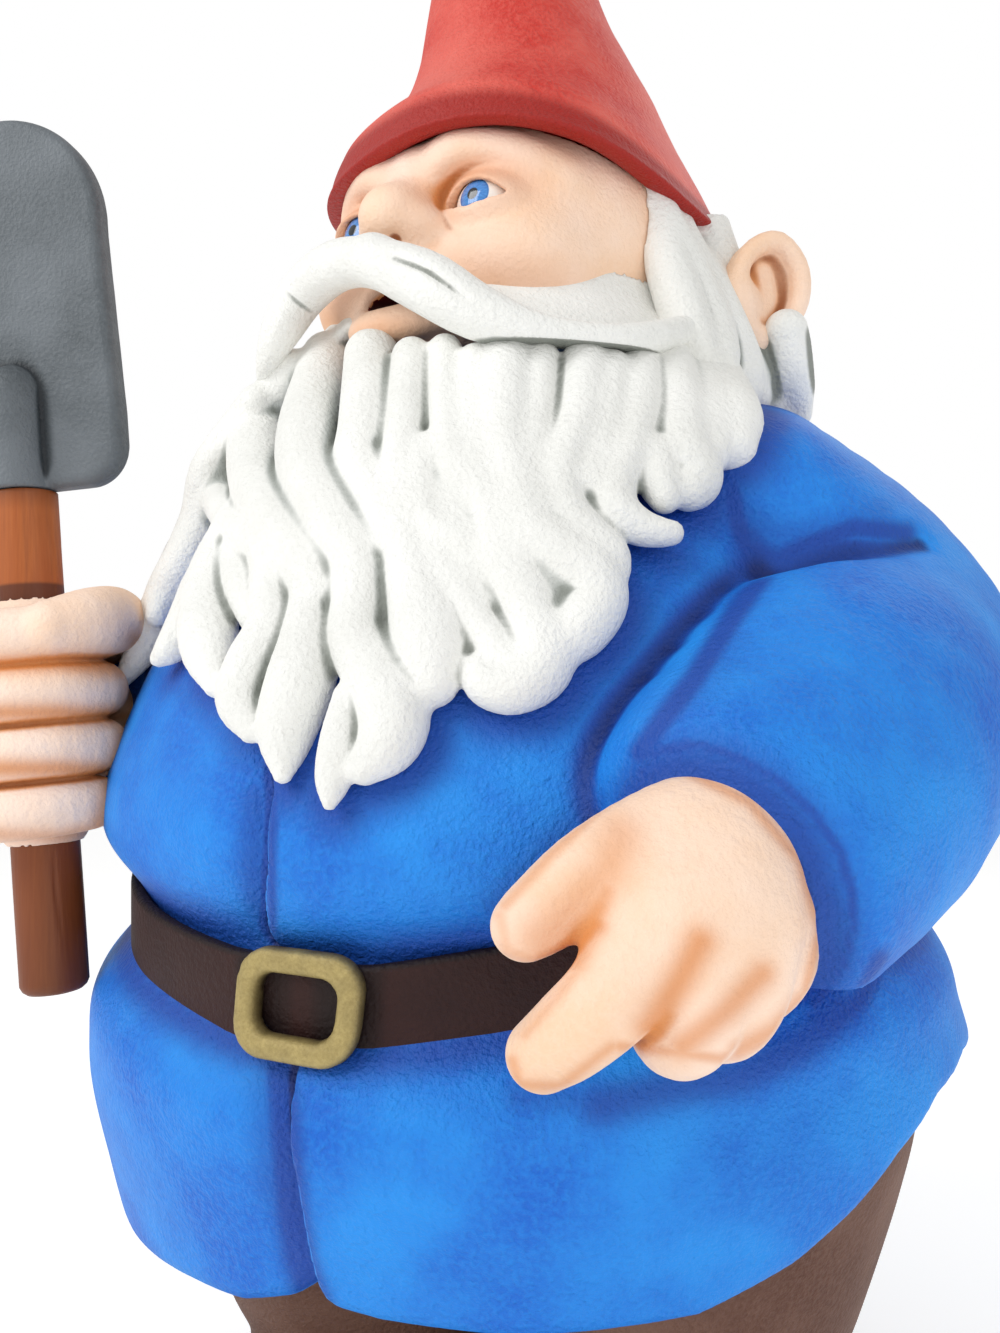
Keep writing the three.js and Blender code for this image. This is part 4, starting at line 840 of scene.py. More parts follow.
hatShape = {
    "radius": 178, "brim": 1090, "top": 1500, "back": 2, "columns": 220, "rollTurn": 64, "cutLift": 9, "wobble": 0.8,
    "rimAngles": [-180, -120, -64, -30, -10, 0, 15, 26, 45, 60, 75, 90, 105, 120, 180],
    "rimHeights": [1092, 1094, 1098, 1100, 1108, 1112, 1113, 1110, 1099, 1083, 1070, 1066, 1074, 1084, 1092],
    # share of the height, share of the radius where the brim runs straight, and where it is rolled outwards
    "profile": [
        (0.03, 0.84, 0.82), (0.004, 0.88, 0.84), (-0.006, 0.95, 0.89), (0, 0.995, 0.95), (0.02, 0.966, 0.937),
        (0.045, 0.934, 0.922), (0.075, 0.898, 0.895), (0.105, 0.859, 0.858), (0.135, 0.82, 0.775),
        (0.165, 0.781, 0.695),
        (0.195, 0.746, 0.636), (0.22, 0.718, 0.593), (0.245, 0.691, 0.562), (0.27, 0.664, 0.539), (0.3, 0.626, 0.517),
        (0.335, 0.578, 0.497), (0.38, 0.519, 0.481), (0.43, 0.454, 0.464), (0.5, 0.386, 0.436), (0.58, 0.325, 0.385),
        (0.67, 0.27, 0.3), (0.76, 0.215, 0.225), (0.85, 0.155, 0.157), (0.92, 0.1, 0.1), (0.97, 0.055, 0.055),
        (0.996, 0.02, 0.02),
    ],
}


def rimHeight(degrees):
    spots = np.arange(-200, 201, 2.0)
    heights = np.interp((spots + 180) % 360 - 180, hatShape["rimAngles"], hatShape["rimHeights"])
    heights = np.convolve(np.pad(heights, 8, mode="edge"), np.hanning(17) / np.hanning(17).sum(), "valid")
    return np.interp(degrees, spots, heights).astype(np.float32)


# Above the line where the hat sits, raised so that the cut stays inside the hat
def brimSide(cells, lift=hatShape["cutLift"]):
    x, y, z = cells
    return z - rimHeight(np.degrees(np.arctan2(x, -y))) - lift


def mirroredBall(block, ball, side, cut=False):
    (x, y, z), radii, soft = ball
    addBall(block, (side * x, y, z), radii, soft, cut=cut)


def headPiece():
    s = headShape
    block = foamBlock((-175, -215, -150), (175, 175, 110), 2.4)
    addBall(block, (0, 0, 0), s["radii"], 0)
    for side in mirrorSides.values():
        addRope(block, [(side * x, *rest) for x, *rest in s["brow"]], s["browSoft"])
        mirroredBall(block, s["cheek"], side)
        mirroredBall(block, s["socket"], side, cut=True)
    addRope(block, s["bridge"], s["bridgeSoft"])
    addBall(block, *s["noseTip"])
    for side in mirrorSides.values():
        mirroredBall(block, s["noseWing"], side)
        mirroredBall(block, s["nostril"], side, cut=True)
    addBall(block, *s["jaw"])
    for side in mirrorSides.values():
        centre = np.array((side * s["eyeAcross"], -s["eyeForward"], s["eyeRise"]), np.float32)
        lid = s["eyeRadius"] + s["lidThickness"]
        addBall(block, centre, (lid + 3, lid, lid * 0.86), 9)
        reach = lid + 12
        part, (x, y, z) = cellsNear(block, centre - reach, centre + reach)
        across = (x - centre[0]) / s["eyeHalfWidth"]
        arch = np.maximum(1 - across ** 2, -0.4)
        opening = np.maximum(z - centre[2] - s["eyeTop"] * arch, centre[2] - z - s["eyeBottom"] * arch)
        opening = np.maximum(opening, y - centre[1] + 4) * 0.85
        block["field"][part] = softCut(block["field"][part], opening, 3)
        addBall(block, centre, [s["eyeRadius"] + s["eyeGap"]] * 3, 0, cut=True)
    addBall(block, *s["mouth"], cut=True)
    addRope(block, s["lip"], s["lipSoft"])
    x, y, z = allCells(block)
    t = headTurn.astype(np.float32)
    world = [t[i][0] * x + t[i][1] * y + t[i][2] * z + np.float32(headCentre[i]) for i in range(3)]
    block["field"] = np.maximum(block["field"], brimSide(world))
    block["field"] = np.maximum(block["field"], tunic["neckHeight"] + 0.5 - world[2]).astype(np.float32)
    piece = carvedPiece(block, "headFoam", fine=6, wide=16)
    local = pointsOf(piece)
    # orange-brown painted shade around the eyes, nose, cheeks and lip
    warmShade = np.zeros(len(local))
    for side in mirrorSides.values():
        for (x, y, z), radii, strength in s["warmShadePatches"]:
            away = (local - np.array((side * x, y, z))) / np.array(radii)
            warmShade = np.maximum(warmShade, np.exp(-(away ** 2).sum(1)) * strength)
    setValues(piece, "shadeZone", warmShade)
    mouthCentre, mouthRadii = s["mouthPaint"]
    inMouth = (((local - np.array(mouthCentre)) / np.array(mouthRadii)) ** 2).sum(1) < s["mouthPaintReach"]
    piece.data.materials.append(paleSkin)
    piece.data.materials.append(mouthRed)
    faceCorners = np.zeros(len(piece.data.loops), np.int32)
    piece.data.loops.foreach_get("vertex_index", faceCorners)
    inside = inMouth[faceCorners.reshape(-1, 4)].all(axis=1)
    piece.data.polygons.foreach_set("material_index", inside.astype(np.int32))
    piece.data.vertices.foreach_set("co", (fromHead(local) * mm).astype(np.float32).ravel())
    piece.data.update()
    return piece


head = headPiece()


def eyePiece(side):
    s = headShape
    rows, columns = 40, 56
    points, uvs = [], []
    for i in range(rows + 1):
        away = math.pi * i / rows
        for j in range(columns):
            a = 2 * math.pi * j / columns
            points.append((math.sin(away) * math.cos(a), -math.cos(away), math.sin(away) * math.sin(a)))
            uvs.append((away / 1.2 * math.cos(a), away / 1.2 * math.sin(a)))
    look = turnAbout("z", 4 * side) @ turnAbout("x", -3)
    centre = np.array((side * s["eyeAcross"], -s["eyeForward"], s["eyeRise"]))
    spots = np.array(points) @ look.T * s["eyeRadius"] + centre
    faces = gridFaces(rows + 1, columns)
    piece = quadMesh("leftEyeBall" if side > 0 else "rightEyeBall", fromHead(spots), faces)
    layer = piece.data.uv_layers.new(name="gaze")
    layer.data.foreach_set("uv", np.array(uvs, np.float32)[faces.ravel()].ravel())
    return piece


eyes = {name: eyePiece(side) for name, side in mirrorSides.items()}
print("head carved")

earShape = {
    "centre": (205, 56, 1006), "splay": 36, "tilt": 12, "radii": (17, 38, 50), "scale": 0.96,
    "lobe": ((-2, -8, -38), (12, 17, 19), 12), "bowl": ((20, 2, 4), (22, 28, 38), 5),
    "rim": [
        (9, -22, -30, 6), (11, -30, -4, 6.5), (12, -24, 28, 7.5), (11, 0, 46, 8.5), (10, 25, 32, 8.5), (10, 33, 4, 8),
        (9, 24, -24, 7), (6, 4, -42, 7),
    ],
    "fold": [(-4, -18, 26, 5), (-2, -2, 20, 6), (-1, 8, 0, 6), (0, 4, -18, 5)],
    "flap": ((4, -24, -8), (8, 8, 12), 7), "root": [(-6, -20, -16, 24), (-30, -26, -14, 26)],
}


def earPiece(side):
    s = earShape
    block = foamBlock((-45, -60, -75), (60, 65, 75), 1.8)
    addBall(block, (0, 0, 0), s["radii"], 0)
    addBall(block, *s["lobe"])
    addBall(block, *s["bowl"], cut=True)
    addRope(block, s["rim"], 7, steps=26)
    addRope(block, s["fold"], 8)
    addBall(block, *s["flap"])
    addRope(block, s["root"], 16)
    turn = turnAbout("z", -s["splay"]) @ turnAbout("x", -s["tilt"])

    def place(points):
        spots = points @ turn.T * s["scale"] + np.array(s["centre"])
        spots[:, 0] *= side
        return spots @ turnAbout("z", -headShape["turn"]).T
    piece = carvedPiece(block, "leftEarFoam" if side > 0 else "rightEarFoam", fine=5, wide=13, place=place)
    if side < 0:
        piece.data.flip_normals()
    return piece


ears = {name: earPiece(side) for name, side in mirrorSides.items()}
print("ears carved")


# Beard, moustache and hair: ropes of foam laid over a base, traced as pixels of the photograph on the near side
beardForm = formTable([
    (1010, 152, 152), (985, 162, 168), (960, 178, 186), (925, 206, 208), (890, 240, 228), (850, 272, 246),
    (800, 302, 270),
    (745, 326, 296), (660, 364, 338), (590, 383, 358),
])
beardReach = formReach(beardForm)
beard = {
    # x, y and half width in pixels along each lock
    "locks": [
        [(237, 412, 10), (201, 465, 14), (193, 521, 17), (180, 556, 18), (160, 592, 16), (152, 615, 9)],
        [(190, 590, 14), (178, 622, 15), (166, 645, 13), (155, 658, 7)],
        [(245, 400, 13), (222, 444, 16), (214, 492, 17), (229, 523, 16), (262, 550, 15), (295, 578, 12)],
        [(226, 520, 12), (208, 560, 18), (198, 600, 23), (199, 645, 24), (212, 684, 11)],
        [(262, 560, 14), (266, 600, 19), (262, 634, 22), (244, 667, 23), (234, 700, 21), (247, 732, 9)],
        [(275, 377, 20), (247, 430, 25), (249, 483, 25), (275, 527, 23), (304, 559, 19), (318, 592, 16)],
        [(300, 560, 13), (306, 600, 18), (302, 638, 23), (291, 685, 28), (279, 729, 24), (280, 774, 8)],
        [(312, 362, 22), (298, 425, 26), (302, 473, 28), (328, 523, 27), (352, 559, 25), (354, 600, 23),
         (352, 640, 24),
         (374, 680, 27), (388, 712, 29), (384, 742, 25), (362, 768, 14)],
        [(341, 694, 8), (336, 735, 15), (330, 775, 15), (328, 803, 6)],
        [(360, 358, 22), (360, 425, 24), (356, 463, 23), (378, 507, 21), (388, 540, 17)],
        [(405, 358, 16), (402, 416, 17), (398, 473, 18), (402, 520, 19), (404, 560, 20), (418, 605, 28),
         (427, 649, 32),
         (431, 682, 20)],
        [(425, 447, 12), (419, 483, 16), (428, 521, 17), (450, 539, 15), (471, 542, 10)],
        [(441, 353, 14), (446, 422, 15), (456, 463, 16), (482, 499, 15), (492, 529, 15), (499, 562, 17),
         (522, 601, 21),
         (541, 640, 25), (540, 668, 26), (512, 688, 21), (485, 684, 17), (477, 668, 11)],
        [(425, 550, 11), (451, 583, 14), (484, 632, 15), (504, 658, 14)],
        [(473, 362, 14), (472, 420, 14), (480, 470, 14), (505, 520, 15), (520, 560, 16), (535, 600, 17)],
        [(505, 356, 21), (503, 404, 24), (508, 455, 23), (522, 499, 22), (533, 532, 24), (563, 557, 27),
         (590, 578, 28),
         (598, 601, 26), (582, 628, 24), (563, 646, 17)],
        [(543, 358, 13), (538, 422, 14), (535, 473, 15), (545, 515, 15)],
        [(588, 362, 18), (584, 417, 20), (563, 473, 19), (568, 509, 19), (589, 535, 18), (610, 553, 17),
         (620, 567, 10)],
        [(617, 366, 13), (612, 409, 14), (605, 442, 15), (592, 482, 14)],
        [(647, 360, 16), (646, 402, 17), (634, 448, 18), (618, 483, 18), (620, 508, 18), (641, 525, 15),
         (662, 531, 12),
         (674, 532, 10)],
        [(676, 335, 18), (686, 396, 20), (688, 448, 24), (700, 474, 24), (694, 488, 17)],
        [(660, 455, 16), (664, 480, 17), (668, 496, 13)],
        [(706, 322, 20), (727, 376, 25), (741, 418, 28), (739, 446, 21)],
        [(712, 380, 20), (716, 420, 20), (716, 452, 16)],
    ],
    # short locks deeper in the beard, which close it behind the long ones
    "underLocks": [
        [(452, 478, 20), (456, 510, 24), (466, 542, 18)], [(466, 556, 18), (474, 582, 18), (484, 604, 14)],
        [(232, 556, 16), (240, 585, 20), (250, 616, 14)], [(540, 560, 16), (556, 590, 20), (560, 610, 14)],
    ],
    "underDepth": 7,
    "sink": 0.42, "topSink": 4, "soft": 7, "fuller": 1.3, "baseInset": 7, "baseInsetTop": -1, "riseUnder": 2,
    # how high the base reaches under the moustache, by angle
    "topAngles": [-110, -60, -36, -18, 0, 17, 30, 45, 58, 72, 86],
    "topHeights": [985, 965, 962, 975, 972, 950, 940, 940, 948, 965, 985],
    # the lower edge of the base behind the tips, on the far side by angle and on the near side in pixels
    "farEdge": [(-112, 905), (-95, 860), (-80, 815), (-65, 785)],
    "edgePixels": [
        (140, 600), (160, 640), (200, 660), (240, 690), (265, 705), (300, 715), (330, 735), (370, 725), (410, 700),
        (440, 650), (460, 600), (480, 610), (510, 650), (540, 645), (580, 610), (610, 570), (640, 530), (670, 500),
        (700, 470), (740, 440), (780, 405),
    ],
    # the far side, by angle: start, end, end height, half width
    "farLocks": [
        (-46, -52, 690, 21), (-54, -60, 716, 23), (-62, -69, 745, 22), (-70, -77, 764, 23), (-78, -86, 790, 22),
        (-86, -94, 822, 21),
        (-94, -102, 850, 21), (-102, -109, 876, 19),
    ],
}


# Sink a lock into the base by a share of its radius, a little more near the moustache, where the locks are shallow.
def sunkLine(line, fuller=None):
    s = beard
    line[:, 3] *= fuller or s["fuller"]
    sink = s["sink"] * line[:, 3] + s["topSink"] * np.clip((line[:, 2] - 850) / 80, 0, 1)
    out = np.hypot(line[:, 0], line[:, 1])
    line[:, :2] *= ((out - sink) / out)[:, None]
    return line


def beardBlock():
    s = beard
    block = foamBlock((-345, -400, 590), (330, 60, 1010), 2.6)
    cells = allCells(block)
    x, y, z = cells
    turn = np.degrees(np.arctan2(x, -y))
    inset = np.interp(z, (760, 900), (s["baseInset"], s["baseInsetTop"])).astype(np.float32)
    outer = formField(beardForm, cells) + inset
    innerWall = -formField(beardForm, cells, -60)
    edge = onForm(s["edgePixels"], beardReach)
    edge = s["farEdge"] + [(math.degrees(math.atan2(spot[0], -spot[1])), spot[2]) for spot in edge]
    bottom = np.interp(turn, *zip(*edge)).astype(np.float32)
    base = np.maximum(np.maximum(outer, innerWall), bottom - z)
    base = softCut(base, z - np.interp(turn, s["topAngles"], s["topHeights"]).astype(np.float32), 10)
    block["field"] = np.maximum(base, np.abs(turn + 4) - 100).astype(np.float32)
    for lock in s["locks"]:
        if 340 < lock[0][1] < 400:
            lock = [(lock[0][0], lock[0][1] - s["riseUnder"], lock[0][2])] + lock
        addRope(block, sunkLine(onForm(lock, beardReach)), s["soft"], steps=4 * len(lock))
    for lock in s["underLocks"]:
        addRope(block, sunkLine(onForm(lock, beardReach, -s["underDepth"])), s["soft"], steps=8)
    rng = np.random.default_rng(11)
    for start, end, tip, size in s["farLocks"]:
        line = []
        phase = rng.uniform(0, 2 * math.pi)
        for i in range(8):
            share = i / 7
            turn = math.radians(start + (end - start) * share + 2.6 * math.sin(phase + share * 5.2))
            height = 975 + (tip - 975) * share
            reach = float(beardReach(turn, height))
            thick = size * (0.72, 0.95, 1.05, 1.0, 1.0, 1.08, 0.9, 0.35)[i]
            line.append((reach * math.sin(turn), -reach * math.cos(turn), height, thick))
        addRope(block, sunkLine(np.array(line), 1.0), s["soft"], steps=26)
    return block


def cutByHead(block, grow=0.6):
    radii = np.array(headShape["radii"]) + grow
    addBall(block, headCentre, radii, 0, turn=headTurn, cut=True)


# Hollow a block where the torso's top stands in it.
def cutByBody(block, grow=0.4):
    def topField(cells):
        return np.maximum(formField(bodyTable, cells, grow), cells[2] - tunic["neckHeight"])
    addField(block, topField, 0, cut=True)


mouthOpening = {"centre": (0, -170, -78), "radii": (44, 44, 24), "soft": 8}
block = beardBlock()
cutByHead(block)
cutByBody(block)
addBall(block, fromHead([mouthOpening["centre"]])[0], mouthOpening["radii"], mouthOpening["soft"], cut=True)
beardPiece = carvedPiece(block, "beardFoam", fine=7, wide=15)
print("beard carved")

faceForm = formReach(formTable([
    (900, 210, 206), (940, 200, 202), (960, 190, 196), (985, 178, 187), (1010, 168, 177), (1040, 160, 170),
    (1090, 158, 166),
]))


def faceReach(angle, height):
    return faceForm(angle, height) + 22 * np.exp(-((np.degrees(angle) + 10) / 30) ** 2)


moustacheShape = {
    "left": [(374, 260, 24), (426, 282, 31), (476, 311, 28), (536, 333, 21), (600, 341, 18), (650, 338, 17),
             (694, 328, 15)],
    "right": [(374, 260, 24), (336, 266, 25), (304, 292, 24), (282, 328, 20), (268, 360, 12), (263, 376, 7)],
    "grooves": [
        [(392, 256, 2.5), (430, 272, 2.5), (480, 306, 2.5), (540, 330, 2.5), (610, 338, 2)],
        [(386, 274, 2.5), (424, 300, 2.5), (462, 330, 2.5)],
        [(350, 262, 2.5), (318, 276, 2.5), (292, 302, 2.5), (274, 340, 2)],
    ],
    "lift": 6,
}


def moustachePiece():
    s = moustacheShape
    block = foamBlock((-230, -250, 930), (230, 60, 1075), 2.2)
    for side in ("left", "right"):
        line = onForm(s[side], faceReach, s["lift"])
        addRope(block, line, 8, steps=22)
    for groove in s["grooves"]:
        line = onForm(groove, faceReach, s["lift"] + 21)
        addRope(block, line, 6, steps=16, cut=True)
    cutByHead(block)
    return carvedPiece(block, "moustacheFoam", fine=6, wide=14)


moustache = moustachePiece()

hairForm = formTable([
    (1115, 138, 144), (1080, 148, 156), (1050, 160, 168), (1020, 175, 182), (990, 188, 194), (960, 201, 204),
    (925, 210, 209),
    (895, 203, 202), (875, 190, 190),
])
hairReach = formReach(hairForm)
hairShape = {
    "locks": [
        [(682, 190, 30), (698, 245, 33), (716, 300, 35), (738, 350, 34), (758, 394, 28), (768, 422, 16)],
        [(662, 196, 20), (674, 255, 23), (690, 305, 25), (704, 350, 24), (716, 385, 16)],
        [(746, 318, 24), (770, 360, 27), (784, 398, 24), (787, 420, 14)],
        [(708, 205, 26), (728, 260, 24), (748, 306, 22)],
        [(796, 330, 22), (803, 372, 22), (804, 412, 15)],
    ],
    "backLocks": 19, "backStart": 84, "backEnd": 278, "backTop": 1096, "backTip": 893, "backSize": 21, "soft": 5,
    "sink": 0.45,
}


def hairPiece():
    s = hairShape
    block = foamBlock((-250, -110, 868), (250, 250, 1125), 2.8)
    cells = allCells(block)
    x, y, z = cells
    turn = np.degrees(np.arctan2(x, -y))
    away = np.abs((turn + headShape["turn"] + 360) % 360 - 180)
    outer = formField(hairForm, cells, -4)
    inner = -formField(hairForm, cells, -52)
    base = np.maximum(np.maximum(outer, inner), np.maximum(z - 1110, 888 - z))
    base = np.maximum(base, (away - 103) * 3)
    block["field"] = base.astype(np.float32)
    for lock in s["locks"]:
        line = onForm(lock, hairReach)
        line[:, :2] *= (1 - s["sink"] * line[:, 3] / np.hypot(line[:, 0], line[:, 1]))[:, None]
        addRope(block, line, s["soft"], steps=4 * len(lock))
    rng = np.random.default_rng(5)
    for k in range(s["backLocks"]):
        start = s["backStart"] + (s["backEnd"] - s["backStart"]) * k / (s["backLocks"] - 1) - headShape["turn"]
        phase = rng.uniform(0, 2 * math.pi)
        tip = s["backTip"] + rng.uniform(-8, 12)
        line = []
        for i in range(7):
            share = i / 6
            a = math.radians(start + 2.4 * math.sin(phase + share * 5))
            height = s["backTop"] + (tip - s["backTop"]) * share
            thick = s["backSize"] * (0.9, 1, 1.05, 1.1, 1.15, 1.05, 0.5)[i]
            reach = float(hairReach(a, height)) - s["sink"] * thick
            line.append((reach * math.sin(a), -reach * math.cos(a), height, thick))
        addRope(block, line, s["soft"], steps=20)
    cutByHead(block)
    block["field"] = np.maximum(block["field"], brimSide(allCells(block))).astype(np.float32)
    cutByBody(block)
    return carvedPiece(block, "hairFoam", fine=7, wide=15)


hair = hairPiece()
print("moustache and hair carved")


# Hat
def hatPiece():
    s = hatShape
    profile = smoothLine(s["profile"], 190)
    rise = s["top"] - s["brim"]
    turns = np.radians(np.linspace(-180, 180, s["columns"], endpoint=False))
    rolled = 0.5 + 0.5 * np.cos(turns + math.radians(s["rollTurn"]))
    tilt = rimHeight(np.degrees(turns)) - s["brim"]
    rng = np.random.default_rng(3)
    phases = rng.uniform(0, 2 * math.pi, 5)
    rows, under = [], []
    for up, straight, roll in profile:
        wobble = sum(np.cos(turns * k + phases[k - 1]) * s["wobble"] for k in (2, 3, 4)) * (0.4 + straight)
        radius = (straight + (roll - straight) * rolled) * s["radius"] + wobble
        x, y = radius * np.sin(turns), -radius * np.cos(turns)
        height = s["brim"] + up * rise + tilt * (1 - min(max(up, 0), 1)) ** 2
        rows.append(np.stack([x, y + s["back"], height], axis=1))
        # painted shade on the lowest band of the hat, the brim's underside, wider where the brim rolls outwards
        below = np.clip(1 - (up - 0.02 - 0.03 * rolled) / (0.04 + 0.03 * rolled), 0, 1)
        under.append(below if straight > 0.7 else 0 * below)
    piece = quadMesh("hatFoam", np.concatenate(rows), loftFaces(len(rows), len(turns)))
    setValues(piece, "wideShade", np.concatenate(under))
    return piece


hat = hatPiece()
print("hat made")

# Hands
handShape = {
    "centre": (257, -331, 571), "size": 96, "turn": 7,
    "palm": [(0.3, 0.66, 0.26, 0.38), (0.14, 0.28, 0.2, 0.5), (0.13, 0.06, -0.04, 0.54), (0.1, 0.02, -0.28, 0.42)],
    "thumb": [(0.08, 0.28, 0.4, 0.32), (-0.12, 0.04, 0.37, 0.3), (-0.4, -0.27, 0.2, 0.255),
              (-0.64, -0.42, -0.03, 0.225), (-0.73, -0.46, -0.11, 0.2)],
    "index": [(0.02, -0.2, 0.0, 0.34), (-0.16, -0.42, -0.38, 0.27), (-0.42, -0.46, -0.65, 0.245),
              (-0.65, -0.4, -0.83, 0.215)],
    "middle": [(0.2, -0.16, -0.1, 0.3), (0.22, -0.16, -0.42, 0.265), (0.04, -0.08, -0.68, 0.25),
               (-0.26, 0.2, -0.62, 0.22)],
    "ring": [(0.34, 0.06, -0.08, 0.3), (0.34, 0.1, -0.42, 0.255), (0.15, 0.22, -0.66, 0.24),
             (-0.12, 0.48, -0.54, 0.21)],
    "little": [(0.4, 0.3, -0.02, 0.28), (0.4, 0.4, -0.34, 0.235), (0.2, 0.5, -0.54, 0.22), (-0.04, 0.72, -0.4, 0.19)],
}


def handPiece():
    s = handShape
    turn = turnAbout("z", -s["turn"])

    def place(rows):
        centre = np.array(s["centre"])
        return [(*(turn @ np.array(row[:3]) * s["size"] + centre), row[3] * s["size"]) for row in rows]
    block = foamBlock((140, -435, 470), (350, -215, 650), 1.9)
    addRope(block, place(s["palm"]), 0)
    for finger, soft in (("index", 16), ("thumb", 16), ("middle", 6), ("ring", 6), ("little", 6)):
        addRope(block, place(s[finger]), soft, steps=18)
    return carvedPiece(block, "leftHandFoam", fine=6, wide=15)


leftHand = handPiece()

shovelShape = {
    "fist": (-321, -246, 654), "lean": 5, "radius": 27, "below": 220, "top": 190, "clearance": 0.8,
    "cracks": 11, "steps": 150, "columns": 96,
}
# rows of ropes in the shovel's own frame: x, y, z and radius
fistShape = {
    "palm": [(-30, 30, 62, 40), (-34, 34, 20, 46), (-34, 34, -24, 46), (-28, 30, -66, 36)],
    "core": [(0, 0, 72, 40), (0, 0, -74, 38)], "wrist": [(-18, 40, 0, 52), (-14, 120, 0, 50)],
    "thumb": [(-40, 46, 52, 28), (0, 66, 70, 28), (46, 44, 80, 28), (66, 2, 76, 28), (58, -32, 72, 22)],
    # level, start and end angle, and size of each finger
    "fingers": [(1.5, 150, 400, 1.0), (0.5, 148, 406, 1.05), (-0.5, 150, 402, 1.0), (-1.5, 155, 392, 0.93)],
    "fingerShares": (1.0, 1.04, 1.0, 1.02, 0.98, 0.97, 0.95, 0.88, 0.7),
    "wrap": 55, "pitch": 45, "finger": 25,
}
shovelTurn = turnAbout("y", -shovelShape["lean"])
fistCentre = np.array(shovelShape["fist"], float)


def fromShovel(points):
    return np.asarray(points) @ shovelTurn.T + fistCentre


def fistPiece():
    s = fistShape
    block = foamBlock((-100, -105, -112), (112, 150, 118), 2.0)
    addRope(block, s["palm"], 0)
    addRope(block, s["core"], 8, steps=3)
    addRope(block, s["wrist"], 14, steps=4)
    for level, start, end, size in s["fingers"]:
        line = []
        for i, share in enumerate(s["fingerShares"]):
            a = math.radians(start + (end - start) * i / 8)
            reach = s["wrap"] - (6 if i == 8 else 0) + 2.5 * math.cos(3 * a)
            thick = s["finger"] * size * share
            line.append((reach * math.cos(a), reach * math.sin(a), level * s["pitch"] + 2 * math.sin(a), thick))
        addRope(block, line, 3.5, steps=26)
    addRope(block, s["thumb"], 5, steps=22)
    bore = shovelShape["radius"] + shovelShape["clearance"]
    addField(block, lambda cells: np.hypot(cells[0], cells[1]) - bore + 0 * cells[2], 0, cut=True)
    return carvedPiece(block, "rightFistFoam", fine=6, wide=15, place=fromShovel)


rightFist = fistPiece()
print("hands carved")


# Shovel
def handlePiece():
    s = shovelShape
    columns, steps = s["columns"], s["steps"]
    turns = np.radians(np.linspace(0, 360, columns, endpoint=False))
    shaft = np.linspace(-s["below"] + 8, s["top"] - 1.0, steps)
    heights = np.concatenate([[-s["below"]] * 3, shaft, [s["top"] - 0.5]])
    shares = np.concatenate([[0.55, 0.8, 0.93], np.ones(steps), [0.98]])
    lifts = np.concatenate([[0, 1.2, 4], np.zeros(steps + 1)])
    rng = np.random.default_rng(9)
    cracks = [(rng.uniform(0, 2 * math.pi), rng.uniform(-200, 120), rng.uniform(45, 120), rng.uniform(0.5, 1.1))
              for _ in range(s["cracks"])]
    rows = []
    for height, share, lift in zip(heights, shares, lifts):
        radius = np.full(columns, s["radius"] - 0.5)
        radius = radius + 0.35 * np.cos(turns * 2 + height / 90) + 0.25 * np.cos(turns * 5 + height / 60)
        for at, start, length, depth in cracks:
            along = np.clip(1 - abs(height - start - length / 2) / (length / 2), 0, 1)
            wander = 0.05 * math.sin(height / 17 + at)
            off = np.abs((turns - at - wander + math.pi) % (2 * math.pi) - math.pi)
            radius = radius - depth * along ** 0.5 * np.exp(-(off / 0.045) ** 2)
        radius = radius * share
        rows.append(np.stack([radius * np.cos(turns), radius * np.sin(turns), np.full(columns, height + lift)],
                             axis=1))
    points = np.concatenate(rows)
    piece = quadMesh("shovelPole", fromShovel(points), loftFaces(len(rows), columns))
    height = points[:, 2]
    shadow = np.clip((110 - height) / 25, 0, 1) * 0.45 + np.clip((-100 - height) / 130, 0, 1) * 0.2
    shadow = np.maximum(shadow, np.clip((height - 172) / 18, 0, 1) * 0.5)
    shadow = np.where((height > 92) & (height < 112), 0.75, shadow)
    setValues(piece, "shadow", np.clip(shadow, 0, 0.85))
    return piece


handle = handlePiece()

bladeShape = {
    "width": 182, "height": 308, "thickness": 26, "turn": 20, "corner": 34, "shoulder": 0.93, "dish": 4,
    "tongue": 24, "tongueHeight": 104, "tongueRise": 12, "tongueSeat": 4, "edge": 9, "taperStart": 60,
    "taperLength": 150,
    "socket": [(0, 0, -20, 21), (0, 0, 70, 19), (0, 0, 105, 8)], "gap": 0.3,
}


